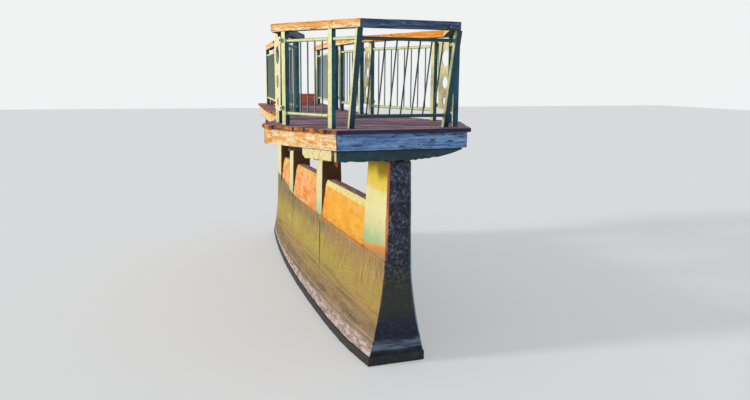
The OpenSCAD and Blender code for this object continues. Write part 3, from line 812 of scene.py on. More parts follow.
@dataclass(frozen=True)
class Planks:
    """Trodden deck planks: a plum brown face and grey grooves; their cut ends are orange with painted
    sunlight on the left and dark with painted shade on the right, and the front edges are dark blue with
    painted shade.
    """

    def material(self) -> Material:
        """Return the finish as a material.

        Returns:
            The material.
        """
        s = Surface("deck_planks")
        shade = s.add("ShaderNodeAttribute", attribute_name="shade").outputs["Fac"]
        fibre = s.cloud(3.0, 6.0, 0.7, at=s.grain, stretch=(0.6, 26.0, 26.0), warp=0.2)
        base = s.ramp(fibre, [(0.36, "523e5a"), (0.5, "8d6c90"), (0.62, "c79cb4")])
        far = s.blend(s.fit(fibre, 0.4, 0.6), "b0586c", "dc8f98")
        base = s.blend(s.fit(s.y, -1.6, 1.6, 0.1, 0.8), base, far)
        worn = s.cloud(5.0, 5.0, 0.7, at=s.grain, stretch=(0.7, 5.0, 1.0))
        base = s.over(base, "cf9fae", s.fit(worn, 0.50, 0.62), 0.65)
        base = s.over(base, "3a2636", s.fit(worn, 0.48, 0.36), 0.65)
        zone = s.cloud(3.2, 5.0, 0.65, stretch=(0.5, 1.8, 1.0))
        base = s.over(base, "dc98a6", s.fit(zone, 0.50, 0.60), 0.65)
        base = s.over(base, "404868", s.fit(zone, 0.51, 0.42), 0.75)
        base = s.blend(s.fit(shade, 0.45, 1.0, 0.0, 0.75), base, "3f2c3c")
        base = s.blend(s.fit(shade, 0.45, 0.0, 0.0, 0.5), base, "c9a5b4")
        moss = s.both(s.fit(s.cloud(3.0, 5.0, 0.7), 0.52, 0.66), s.fit(s.x, -0.5, -0.9))
        base = s.over(base, "2d2f1c", moss, 0.85)
        grit = s.fit(s.cloud(26.0, 5.0, 0.75), 0.60, 0.70)
        base = s.over(base, "c7a77c", grit, 0.5)
        lines = s.lines(s.cloud(1.8, 3.0, at=s.grain, stretch=(0.6, 12.0, 12.0), warp=0.5), 0.012)
        base = s.over(base, "1f161c", lines, 0.8)
        # Painted sunlight: the cut ends turned to the left are orange.
        sunlit_ends = s.ramp(s.cloud(10.0, 6.0, 0.75, stretch=(1, 1, 2)),
                      [(0.38, "2a1808"), (0.47, "94500f"), (0.58, "d47c18"), (0.7, "efa23c")])
        base = s.blend(s.fit(s.nx, -0.3, -0.6), base, sunlit_ends)
        # Painted shade: the ends turned to the right and the front edges are dark.
        base = s.blend(s.fit(s.nx, 0.3, 0.6), base, "3c3038")
        front = s.blend(s.fit(fibre, 0.4, 0.6), "141828", "2f3c60")
        base = s.blend(s.fit(s.ny, -0.5, -0.8), base, front)
        return s.finish(base, 0.8, fibre, 0.004)


@dataclass(frozen=True)
class SteelPaint:
    """Old paint on steel, with painted sunlight on faces turned to the left, painted shade on those turned to
    the front, rusty at its edges.
    """

    name: str
    # sunny and slim_sunny are painted sunlight; shade, deep and slim_shade are painted shade.
    sunny: str = "e6eaac"
    body: str = "4f9a7c"
    shade: str = "0c6a88"
    deep: str = "084458"
    slim_sunny: str = "8a9686"
    slim_body: str = "62766d"
    slim_shade: str = "24525f"
    rust_share: float = 0.12
    rust_low: float = 0.0
    # Height above which the paint turns near black: painted shadow under the fascia, with the gap's dark
    # joint.
    dark_high: float = 9.0

    def material(self) -> Material:
        """Return the finish as a material.

        Returns:
            The material.
        """
        s = Surface(self.name)
        cloud = s.cloud(7.0, 5.0, 0.65)
        body = s.blend(s.fit(cloud, 0.35, 0.65), self.body, "7fb08a")
        body = s.blend(0.45, body, self.body)
        # Painted shade on faces turned to the front, painted sunlight on those turned to the left.
        front = s.blend(s.fit(cloud, 0.4, 0.62), self.shade, self.deep)
        sun = s.blend(s.fit(s.cloud(18.0, 4.0), 0.5, 0.66), self.sunny, "e6cf8c")
        look = s.blend(s.fit(s.ny, -0.45, -0.75), body, front)
        look = s.blend(s.fit(s.nx, -0.45, -0.75), look, sun)
        slim = s.add("ShaderNodeAttribute", attribute_name="slim").outputs["Fac"]
        # The balusters get the same painted shade and sunlight in slimmer tones.
        thin = s.blend(s.fit(s.ny, -0.2, -0.6), s.blend(s.fit(cloud, 0.4, 0.6), self.slim_body, "7d9083"),
                       self.slim_shade)
        thin = s.blend(s.fit(s.nx, -0.5, -0.85), thin, self.slim_sunny)
        look = s.blend(slim, look, thin)
        dirt = s.cloud(16.0, 6.0, 0.7)
        look = s.over(look, "4c5a40", s.fit(dirt, 0.55, 0.72), 0.4)
        spots = s.cloud(24.0, 6.0, 0.75)
        rust = s.ramp(s.cloud(50.0, 4.0), [(0.35, "3a1d10"), (0.5, "87421b"), (0.65, "c4702e")])
        look = s.blend(s.fit(spots, 0.74 - self.rust_share, 0.78 - self.rust_share), look, rust)
        if self.rust_low:
            ragged = s.raised(s.z, s.cloud(22.0, 5.0, 0.7), 0.045)
            look = s.blend(s.fit(ragged, self.rust_low + 0.036, self.rust_low + 0.022), look,
                           s.blend(s.fit(cloud, 0.45, 0.55), "14100e", "5d3317"))
        # Painted shadow, with the gap's dark joint: near black above that height.
        look = s.blend(s.fit(s.z, self.dark_high - 0.008, self.dark_high + 0.004), look, "08090b")
        return s.finish(look, 0.5, s.plus(s.cloud(60.0, 4.0), spots), 0.0015)


@dataclass(frozen=True)
class BareSteel:
    """Weathered fixings of dull steel."""

    name: str
    low: str = "2f3533"
    high: str = "6d7470"

    def material(self) -> Material:
        """Return the finish as a material.

        Returns:
            The material.
        """
        s = Surface(self.name)
        wear = s.cloud(90.0, 4.0)
        look = s.blend(s.fit(wear, 0.4, 0.62), self.low, self.high)
        return s.finish(look, 0.55, wear, 0.0006, metal=0.35)


# Pieces


@dataclass(frozen=True)
class Wear:
    """How the copy of a solid is worn: rounded arrises, cells that carry relief, chips and rags.

    The cells are the steps along, across and up, where 0 makes none. The joints stay closed.
    """

    arris: float = 0.004
    rounds: int = 2
    cells: tuple[float, float, float] = (0.0, 0.0, 0.0)
    depth: float = 0.0
    density: tuple[float, float, float] = (6.0, 6.0, 6.0)
    chips: float = 0.0
    rag: float = 0.0
    sharp: float = math.radians(32)
    along_board: bool = False
    joints: tuple[tuple[float, float], ...] = ()

    def on_joint(self, p: Vector) -> bool:
        """Tell whether a point lies on a flush joint, given as its height and its furthest Y."""
        return any(abs(p.z - height) < JOINT_WITHIN and p.y < furthest for height, furthest in self.joints)


def islands(shape: bmesh.types.BMesh) -> list[list[bmesh.types.BMVert]]:
    """Return the separate pieces of a mesh as lists of vertices.

    Args:
        shape: The mesh.

    Returns:
        The vertices of each piece.
    """
    seen: set[int] = set()
    found = []
    shape.verts.index_update()
    for start in shape.verts:
        if start.index in seen:
            continue
        seen.add(start.index)
        group, queue = [], [start]
        while queue:
            vert = queue.pop()
            group.append(vert)
            for edge in vert.link_edges:
                other = edge.other_vert(vert)
                if other.index not in seen:
                    seen.add(other.index)
                    queue.append(other)
        found.append(group)
    return found


def long_axis(group: Sequence[bmesh.types.BMVert]) -> Vector:
    """Return the level direction of a piece's longest edge.

    Args:
        group: The piece's vertices.

    Returns:
        A unit vector that points to the right or the rear.
    """
    edges = {edge for vert in group for edge in vert.link_edges}
    run = max(((e.verts[1].co - e.verts[0].co) * Vector((1, 1, 0)) for e in edges), key=lambda v: v.length)
    run = run.normalized()
    return -run if run.x + run.y * 0.5 < 0 else run


def cut_cells(shape: bmesh.types.BMesh, axis: Vector, step: float) -> None:
    """Cut a mesh into slices of a step along an axis.

    Args:
        shape: The mesh.
        axis: Direction across the slices.
        step: Thickness of a slice.
    """
    reach = [vert.co.dot(axis) for vert in shape.verts]
    count = max(1, round((max(reach) - min(reach)) / step))
    for k in range(1, count):
        at = min(reach) + (max(reach) - min(reach)) * k / count
        bmesh.ops.bisect_plane(shape, geom=shape.verts[:] + shape.edges[:] + shape.faces[:],
                               dist=CUT_WITHIN, plane_co=axis * at, plane_no=axis)


def is_arris(edge: bmesh.types.BMEdge, sharp: float) -> bool:
    """Tell whether an edge turns more than an angle."""
    return len(edge.link_faces) == 2 and edge.calc_face_angle(0.0) > sharp


def round_arrises(shape: bmesh.types.BMesh, wear: Wear) -> None:
    """Round the sharp edges of a mesh, apart from those on a flush joint.

    Args:
        shape: The mesh.
        wear: How wide and from what angle they are rounded.
    """
    edges = [e for e in shape.edges
             if is_arris(e, wear.sharp) and not all(wear.on_joint(v.co) for v in e.verts)]
    if edges:
        bmesh.ops.bevel(shape, geom=edges, offset=wear.arris, segments=wear.rounds, profile=ARRIS_PROFILE,
                        affect="EDGES", clamp_overlap=True)


def chip_at(p: Vector) -> float:
    """Return how strongly a corner is chipped at a point, where 0 leaves it whole."""
    return max(0.0, noise.fractal(p * CHIP_SCALE + CHIP_SHIFT, *CHIP_NOISE) - CHIP_FROM)


def tear_at(p: Vector) -> float:
    """Return how far a lower edge is torn at a point, from 0 to 1."""
    spot = Vector((p.x * RAG_SCALE, p.y * RAG_SCALE, 3.7))
    return min(1.0, max(0.0, RAG_LEAST + noise.fractal(spot, *RAG_NOISE)))


def relieve(shape: bmesh.types.BMesh, wear: Wear, frames: dict[int, tuple[Vector, Vector, float]]) -> None:
    """Press the relief, chips and rags of a worn copy into its surface.

    Args:
        shape: The mesh, cut into cells.
        wear: How deep and how dense they are.
        frames: For each vertex number, its board's axis, the level direction across it and its middle height.
    """
    lowest = min(vert.co.z for vert in shape.verts)
    shape.normal_update()
    moves = []
    for vert in shape.verts:
        axis, across, _ = frames[vert.index]
        p = vert.co
        along, sideways, up = wear.density
        spot = Vector((p.dot(axis) * along, p.dot(across) * sideways, p.z * up))
        push = wear.depth * min(1.0, max(0.0, 0.5 + 0.6 * noise.fractal(spot, *RELIEF_NOISE)))
        facing = vert.normal.copy()
        corner = vert.calc_shell_factor() > CORNER_FROM
        if wear.on_joint(p):
            facing = (facing * Vector((1, 1, 0))).normalized()
            off_joint = [e for e in vert.link_edges if not wear.on_joint(e.other_vert(vert).co)]
            corner = any(is_arris(e, wear.sharp) for e in off_joint)
        if wear.chips and corner:
            push += wear.chips * chip_at(p)
        move = -facing * push
        if wear.rag and p.z < lowest + RAG_REACH:
            move += Vector((0, 0, wear.rag * tear_at(p)))
        moves.append(move)
    for vert, move in zip(shape.verts, moves):
        vert.co += move


def settle(mesh: Mesh, shape: bmesh.types.BMesh) -> None:
    """Write a finished shape to its mesh and smooth it between its sharp edges.

    Args:
        mesh: The mesh that is written.
        shape: The shape, which is freed.
    """
    shape.to_mesh(mesh)
    shape.free()
    mesh.shade_smooth()
    mesh.set_sharp_from_angle(angle=SMOOTH_WITHIN)


def show(mesh: Mesh, name: str, material: Material, slot: str, nodes: Iterable[str] = ()) -> None:
    """Turn a mesh into a piece of the object.

    Args:
        mesh: The finished mesh.
        name: The piece's name.
        material: Its finish.
        slot: Name of the slot for that finish, which is only logged.
        nodes: CAD nodes that it stands for.
    """
    piece = bpy.data.objects.new(name, mesh)
    bpy.context.scene.collection.objects.link(piece)
    mesh.materials.clear()
    mesh.materials.append(material)
    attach(piece, BODY)
    if nodes:
        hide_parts(*nodes)
    log.info("%s: %d faces in %s", name, len(mesh.polygons), slot)


def worn_copy(node: str, wear: Wear) -> Mesh:
    """Copy a CAD solid and wear it.

    Args:
        node: The node's name.
        wear: How it is worn.

    Returns:
        The worn mesh, with its grain coordinates as an attribute.
    """
    shape = bmesh.new()
    shape.from_mesh(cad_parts[node].data)
    bmesh.ops.remove_doubles(shape, verts=shape.verts, dist=MERGE_WITHIN)
    bmesh.ops.dissolve_limit(shape, angle_limit=FLAT_WITHIN, verts=shape.verts, edges=shape.edges)
    axes = [long_axis(group) if wear.along_board else Vector((0, 1, 0)) for group in islands(shape)]
    if wear.arris:
        round_arrises(shape, wear)
    along, across, up = wear.cells
    done: list[Vector] = []
    for axis in axes:
        if any(abs(axis.dot(other)) > SAME_WAY for other in done):
            continue
        done.append(axis)
        if along:
            cut_cells(shape, axis, along)
        if across:
            cut_cells(shape, Vector((-axis.y, axis.x, 0)), across)
    if up:
        cut_cells(shape, Vector((0, 0, 1)), up)
    many = [face for face in shape.faces if len(face.verts) > 4]
    if many:
        bmesh.ops.triangulate(shape, faces=many)
    frames: dict[int, tuple[Vector, Vector, float]] = {}
    shape.verts.index_update()
    for group, axis in zip(islands(shape), axes):
        heights = [vert.co.z for vert in group]
        middle = (min(heights) + max(heights)) / 2
        for vert in group:
            frames[vert.index] = (axis, Vector((-axis.y, axis.x, 0)), middle)
    offset = sum(ord(letter) for letter in node) * 0.37
    grain = [0.0] * (3 * len(shape.verts))
    for vert in shape.verts:
        axis, sideways, middle = frames[vert.index]
        grain[3 * vert.index:3 * vert.index + 3] = (
            vert.co.dot(axis) + offset, vert.co.dot(sideways), vert.co.z - middle)
    if wear.depth or wear.chips or wear.rag:
        relieve(shape, wear, frames)
    mesh = bpy.data.meshes.new(node)
    settle(mesh, shape)
    mesh.attributes.new("grain", "FLOAT_VECTOR", "POINT").data.foreach_set("vector", grain)
    return mesh


def show_worn(nodes: Iterable[str], wear: Wear, material: Material, slot: str, prefix: str = "worn_") -> None:
    """Show the worn copies of CAD solids in their places.

    Args:
        nodes: Names of the solids.
        wear: How they are worn.
        material: Their finish.
        slot: Name of the slot for that finish, which is only logged.
        prefix: What each piece's name starts with, before its node's name.
    """
    for node in nodes:
        show(worn_copy(node, wear), prefix + node, material, slot, [node])


def pairs(*kinds: str) -> list[str]:
    """Return the names of the left and the right node of each kind."""
    return [side + kind for kind in kinds for side in ("left_", "right_")]


# Geometry Nodes


def new_tree(name: str, sockets: Sequence[tuple[str, str]]) -> tuple[Graph, Any]:
    """Start a Geometry Nodes tree with named inputs.

    Args:
        name: The tree's name.
        sockets: Name and kind of each input after the geometry.

    Returns:
        The tree's graph and what it is given, by name.
    """
    tree = bpy.data.node_groups.new(name, "GeometryNodeTree")
    for label, kind in (("Geometry", "Geometry"), *sockets):
        tree.interface.new_socket(label, in_out="INPUT", socket_type="NodeSocket" + kind)
    tree.interface.new_socket("Geometry", in_out="OUTPUT", socket_type="NodeSocketGeometry")
    graph = Graph(tree)
    return graph, graph.add("NodeGroupInput").outputs


def close_tree(graph: Graph, geometry: Any, material: Socket) -> Tree:
    """End a tree with the material and its output.

    Args:
        graph: The tree's graph.
        geometry: What it ends with.
        material: The material's input.

    Returns:
        The tree.
    """
    done = graph.out("GeometryNodeSetMaterial", {"Geometry": geometry, "Material": material})
    graph.add("NodeGroupOutput", {"Geometry": done})
    return graph.tree


def board_tree() -> Tree:
    """Build the tree that lays one board on every point, between the four corners it carries.

    Returns:
        The tree.
    """
    g, given = new_tree("lay_boards", (
        ("Thickness", "Float"), ("Cells along", "Int"), ("Cells across", "Int"), ("Ragged ends", "Float"),
        ("Relief", "Float"), ("Seed", "Int"), ("Material", "Material")))

    def store(geometry: Socket, name: str, value: Any, kind: str = "FLOAT_VECTOR") -> Socket:
        """Return a geometry that keeps a value on its points."""
        return g.out("GeometryNodeStoreNamedAttribute", {"Geometry": geometry, "Name": name, "Value": value},
                     data_type=kind, domain="POINT")

    def carried(name: str, kind: str = "FLOAT_VECTOR") -> Socket:
        """Return an attribute that the points carry."""
        return g.out("GeometryNodeInputNamedAttribute", {"Name": name}, data_type=kind)

    def chance(step: int, high: float = 1.0) -> Socket:
        """Return a fixed random number for each board, from 0 to a highest one.

        Args:
            step: Which of the board's numbers.
            high: The highest.

        Returns:
            The number.
        """
        seed = g.plus(given["Seed"], float(step))
        return g.out("FunctionNodeRandomValue", {
            "Min": 0.0, "Max": high, "ID": carried("board", "INT"), "Seed": seed}, data_type="FLOAT")

    def between(share: Value, a: Socket, b: Socket) -> Socket:
        """Return the point between two points."""
        return g.out("ShaderNodeMix", {"Factor": share, "A": a, "B": b}, data_type="VECTOR")

    def vector(operation: str, a: Socket, b: Any) -> Socket:
        """Return the result of one sum on two vectors."""
        return g.out("ShaderNodeVectorMath", {0: a, 1: b}, operation=operation)

    blank = g.out("GeometryNodeMeshCube", {
        "Vertices X": given["Cells along"], "Vertices Y": given["Cells across"], "Vertices Z": 2})
    blank = store(blank, "local", g.out("GeometryNodeInputPosition"))
    laid = g.out("GeometryNodeInstanceOnPoints", {"Points": given["Geometry"], "Instance": blank})
    laid = g.out("GeometryNodeRealizeInstances", {"Geometry": laid})
    x, y, z = g.split(carried("local"))
    near_end = g.times(given["Ragged ends"], chance(1))
    far_end = g.times(given["Ragged ends"], chance(2))
    share = g.times(g.plus(x, 0.5), g.less(1.0, g.plus(near_end, far_end)))
    share = g.plus(share, near_end)
    front_left, front_right = carried("front_left"), carried("front_right")
    back_left, back_right = carried("back_left"), carried("back_right")
    front, back = between(share, front_left, front_right), between(share, back_left, back_right)
    place = between(g.plus(y, 0.5), front, back)
    length, width = vector("DISTANCE", front_left, front_right), vector("DISTANCE", front_left, back_left)
    down = g.times(g.less(z, 0.5), given["Thickness"])
    along = g.plus(g.times(share, length), chance(3, GRAIN_SHIFT))
    grain = g.out("ShaderNodeCombineXYZ", {0: along, 1: g.times(y, width), 2: down})
    wavy = g.out("ShaderNodeTexNoise", {"Vector": vector("MULTIPLY", grain, GRAIN_STRETCH), "Scale": 1.0,
                                        "Detail": 3.0})
    sink = g.plus(g.times(wavy, given["Relief"]), g.times(chance(4), given["Relief"]))
    sink = g.times(sink, g.plus(z, 0.5))
    drop = g.out("ShaderNodeCombineXYZ", {0: 0.0, 1: 0.0, 2: g.less(down, sink)})
    laid = store(laid, "grain", grain)
    laid = store(laid, "shade", chance(5), "FLOAT")
    laid = g.out("GeometryNodeSetPosition", {"Geometry": laid, "Position": vector("ADD", place, drop)})
    return close_tree(g, laid, given["Material"])


def fixing_tree() -> Tree:
    """Build the tree that sets one fixing, a head on a washer, on every point along its axis.

    Returns:
        The tree.
    """
    g, given = new_tree("set_fixings", (("Across", "Float"), ("Height", "Float"), ("Washer", "Float"),
                                        ("Sides", "Int"), ("Material", "Material")))
    radius = g.times(given["Across"], 0.5)
    head = g.out("GeometryNodeMeshCone", {
        "Vertices": given["Sides"], "Radius Bottom": radius, "Radius Top": g.times(radius, HEAD_TAPER),
        "Depth": given["Height"]})
    wide = g.out("GeometryNodeMeshCylinder", {
        "Vertices": WASHER_SIDES, "Radius": g.times(radius, given["Washer"]),
        "Depth": g.times(given["Height"], WASHER_DEPTH)})
    both = g.add("GeometryNodeJoinGeometry")
    g.feed(both.inputs[0], head)
    g.feed(both.inputs[0], wide)
    axis = g.out("GeometryNodeInputNamedAttribute", {"Name": "axis"}, data_type="FLOAT_VECTOR")
    turn = g.out("FunctionNodeAlignRotationToVector", {"Vector": axis}, axis="Z")
    laid = g.out("GeometryNodeInstanceOnPoints", {
        "Points": given["Geometry"], "Instance": both, "Rotation": turn})
    laid = g.out("GeometryNodeRealizeInstances", {"Geometry": laid})
    return close_tree(g, laid, given["Material"])


def run_tree(tree: Tree, name: str, points: Sequence[Vector], carried: dict[str, Sequence[Vector]],
             values: dict[str, Any], arris: float = 0.0) -> Mesh:
    """Run a tree on points and take its result as a plain mesh.

    Args:
        tree: The Geometry Nodes tree.
        name: Name of the mesh.
        points: Where the shapes go.
        carried: Vectors that each point carries, by name.
        values: Value of each named input.
        arris: Width to which the result's edges are rounded.

    Returns:
        The mesh.
    """
    cloud = bpy.data.meshes.new(name + "_points")
    cloud.from_pydata([tuple(p) for p in points], [], [])
    for key, vectors in carried.items():
        flat = [part for vector in vectors for part in vector]
        cloud.attributes.new(key, "FLOAT_VECTOR", "POINT").data.foreach_set("vector", flat)
    cloud.attributes.new("board", "INT", "POINT").data.foreach_set("value", list(range(len(points))))
    holder = bpy.data.objects.new(name + "_points", cloud)
    bpy.context.scene.collection.objects.link(holder)
    modifier = holder.modifiers.new(tree.name, "NODES")
    modifier.node_group = tree
    for item in tree.interface.items_tree:
        if item.name in values and item.in_out == "INPUT":
            modifier[item.identifier] = values[item.name]
    evaluated = holder.evaluated_get(bpy.context.evaluated_depsgraph_get())
    mesh = bpy.data.meshes.new_from_object(evaluated)
    holder.modifiers.clear()
    bpy.data.objects.remove(holder)
    mesh.name = name
    for key in [*carried, "board", "local"]:
        if key in mesh.attributes:
            mesh.attributes.remove(mesh.attributes[key])
    shape = bmesh.new()
    shape.from_mesh(mesh)
    if arris:
        round_arrises(shape, Wear(arris=arris, rounds=1, sharp=SHARP_BOARD))
    settle(mesh, shape)
    return mesh


@dataclass(frozen=True)
class Fixing:
    """Sizes of a fixing that many places share: a head on a washer, set along an axis."""

    name: str
    slot: str
    across: float
    height: float
    washer: float
    sides: int
    arris: float = 0.0

    def dress(self, tree: Tree, places: Sequence[Vector], axes: Sequence[Vector], material: Material) -> None:
        """Set one on every place and show them all as one piece.

        Args:
            tree: The Geometry Nodes tree of the fixings.
            places: Where they sit.
            axes: Which way each one points.
            material: Their finish.
        """
        values = {"Across": self.across, "Height": self.height, "Washer": self.washer, "Sides": self.sides,
                  "Material": material}
        mesh = run_tree(tree, self.name, places, {"axis": axes}, values, self.arris)
        show(mesh, self.name, material, self.slot)


# Sub-assemblies


@dataclass
class Pier:
    """The concrete pier: plinth, flared shaft, columns and the walls between them."""

    chip: float = 0.016
    relief: float = 0.005
    plain_half: float = 0.14
    swell_foot: float = 0.020
    swell_top: float = -0.0025
    joints: tuple[tuple[float, float], ...] = ((1.2, 9.0), (0.11, -3.2))
    parts: dict[str, PierPart] = field(default_factory=lambda: {
        "pier_plinth": PierPart.PLINTH, "pier_shaft": PierPart.SHAFT,
        "front_column": PierPart.FRONT_COLUMN, "second_column": PierPart.COLUMN,
        "third_column": PierPart.COLUMN, "nose_column": PierPart.COLUMN,
        "front_wall_panel": PierPart.PANEL, "middle_wall_panel": PierPart.PANEL,
        "rear_wall_panel": PierPart.PANEL})
    slots: dict[PierPart, str] = field(default_factory=lambda: {
        PierPart.PLINTH: "shaft_concrete", PierPart.SHAFT: "shaft_concrete",
        PierPart.FRONT_COLUMN: "column_concrete", PierPart.COLUMN: "column_concrete",
        PierPart.PANEL: "panel_concrete"})

    def swell_at(self, z: float, part: PierPart) -> float:
        """Return how far the battered wall stands outside the plain one at a height.

        Args:
            z: The height.
            part: Part of the pier.

        Returns:
            The distance on each side.
        """
        cast = PierConcrete(part)
        if z < cast.foot:
            fall = min(1.0, (cast.foot - z) / (cast.foot - cast.plinth))
            return self.swell_foot * (1 - fall ** cast.flare_power)
        if part is PierPart.PANEL:
            return self.swell_foot * max(0.0, 1 - (z - cast.foot) / (cast.sill - cast.bevel - cast.foot))
        return self.swell_foot + (self.swell_top - self.swell_foot) * (z - cast.foot) / (cast.top - cast.foot)

    def batter(self, mesh: Mesh, part: PierPart) -> None:
        """Widen the wall towards its foot, seen from the front, as the real one is battered.

        Args:
            mesh: The part's worn mesh.
            part: Part of the pier.
        """
        for vert in mesh.vertices:
            share = max(-1.0, min(1.0, vert.co.x / self.plain_half))
            vert.co.x += share * self.swell_at(vert.co.z, part)

    def build(self) -> dict[str, Mesh]:
        """Return the worn mesh of each part, by node.

        Returns:
            The meshes.
        """
        wear = Wear(arris=0.007, rounds=2, cells=(0.05, 0.07, 0.05), depth=self.relief,
                    density=(5.0, 5.0, 5.0), chips=self.chip, joints=self.joints)
        meshes = {node: worn_copy(node, wear) for node in self.parts}
        for node, mesh in meshes.items():
            if self.parts[node] is not PierPart.PLINTH:
                self.batter(mesh, self.parts[node])
        return meshes

    def dress(self) -> None:
        """Build the parts and give each its concrete."""
        finishes = {part: PierConcrete(part).material() for part in PierPart}
        for node, mesh in self.build().items():
            part = self.parts[node]
            show(mesh, "worn_" + node, finishes[part], self.slots[part], [node])


@dataclass
class RustFlake:
    """The curled flake of rust that hangs from the front beam's lower left corner."""

    beam_low: float = 2.316
    out: float = 0.012
    back: float = 0.033
    tuck: float = 0.012
    width: float = 0.037
    drop: float = 0.052
    thickness: float = 0.004
    rows: int = 9
    columns: int = 6
    narrowing: float = 0.55
    lean: float = 0.32
    curl: float = 0.012
    curl_turn: float = 2.4
    hook: float = 0.006
    ripple: float = 0.12
    ripple_turn: float = 5.1

    def spot(self, t: float, u: float, shift: float) -> tuple[float, float, float]:
        """Return a point of the flake.

        Args:
            t: Share of the way down.
            u: Share of the way to its right edge.
            shift: How far behind the front face it lies.

        Returns:
            The point in the frame.
        """
        narrow = 1 - self.narrowing * t
        x = -PLAN.front_half - self.out + self.width * (0.5 + (u - 0.5) * narrow + self.lean * t * t)
        curl = self.curl * math.sin(self.curl_turn * t) * (1 - u) + self.hook * t * u
        fall = self.drop * (t + self.ripple * t * math.sin(self.ripple_turn * u))
        return x, PLAN.front + self.back + shift + curl, self.beam_low + self.tuck - fall

    def build(self) -> Mesh:
        """Return the flake's mesh.

        Returns:
            The mesh.
        """
        shape = bmesh.new()
        down, right = self.rows - 1, self.columns - 1
        near, far = (
            [[shape.verts.new(self.spot(k / down, i / right, shift)) for i in range(self.columns)]
             for k in range(self.rows)] for shift in (0.0, self.thickness))
        for k in range(self.rows - 1):
            for i in range(self.columns - 1):
                shape.faces.new((near[k][i], near[k + 1][i], near[k + 1][i + 1], near[k][i + 1]))
                shape.faces.new((far[k][i], far[k][i + 1], far[k + 1][i + 1], far[k + 1][i]))
            for i in (0, -1):
                shape.faces.new((near[k][i], far[k][i], far[k + 1][i], near[k + 1][i]))
        for i in range(self.columns - 1):
            for k in (0, -1):
                shape.faces.new((near[k][i], near[k][i + 1], far[k][i + 1], far[k][i]))
        bmesh.ops.recalc_face_normals(shape, faces=shape.faces)
        mesh = bpy.data.meshes.new("rust_flake")
        settle(mesh, shape)
        return mesh


@dataclass
class Steelwork:
    """The beams under the deck, with a flake of rust at the front beam's left end."""

    plate_low: float = 2.322
    flake: RustFlake = field(default_factory=RustFlake)

    def dress(self) -> None:
        """Build the beams and the flake and paint them."""
        ragged = Wear(arris=0.003, cells=(0.03, 0.0, 0.03), depth=0.0015, density=(14, 14, 14),
                      rag=0.014, along_board=True)
        plain = Wear(arris=0.002, rounds=1, cells=(0.25, 0.0, 0.0), depth=0.0008, density=(9, 9, 9),
                     along_board=True)
        # The front beam's dark teal front faces are painted shade, and a near-black band under the fascia
        # painted shadow.
        front = SteelPaint("front_beam_paint", sunny="e9c98a", body="1d5a60", shade="07485c", deep="052e3a",
                           rust_share=0.10, rust_low=self.flake.beam_low, dark_high=2.425).material()
        edge = SteelPaint("edge_plate_paint", sunny="f2e3a4", body="8f7a4c", shade="a8a06a",
                          rust_share=0.16, rust_low=self.plate_low).material()
        under = SteelPaint("under_beam_paint", sunny="b08a58", body="3d4f46", shade="53402c",
                           rust_share=0.22).material()
        show_worn(["front_beam"], ragged, front, "beam_paint")
        show(worn_copy("left_edge_beam", ragged), "worn_edge_plate", edge, "beam_paint", ["left_edge_beam"])
        show_worn(["bearers", "crossbeams"], plain, under, "beam_paint")
        rust = BareSteel("flake_rust", low="a83a17", high="f0683a").material()
        show(self.flake.build(), "rust_flake", rust, "beam_paint")


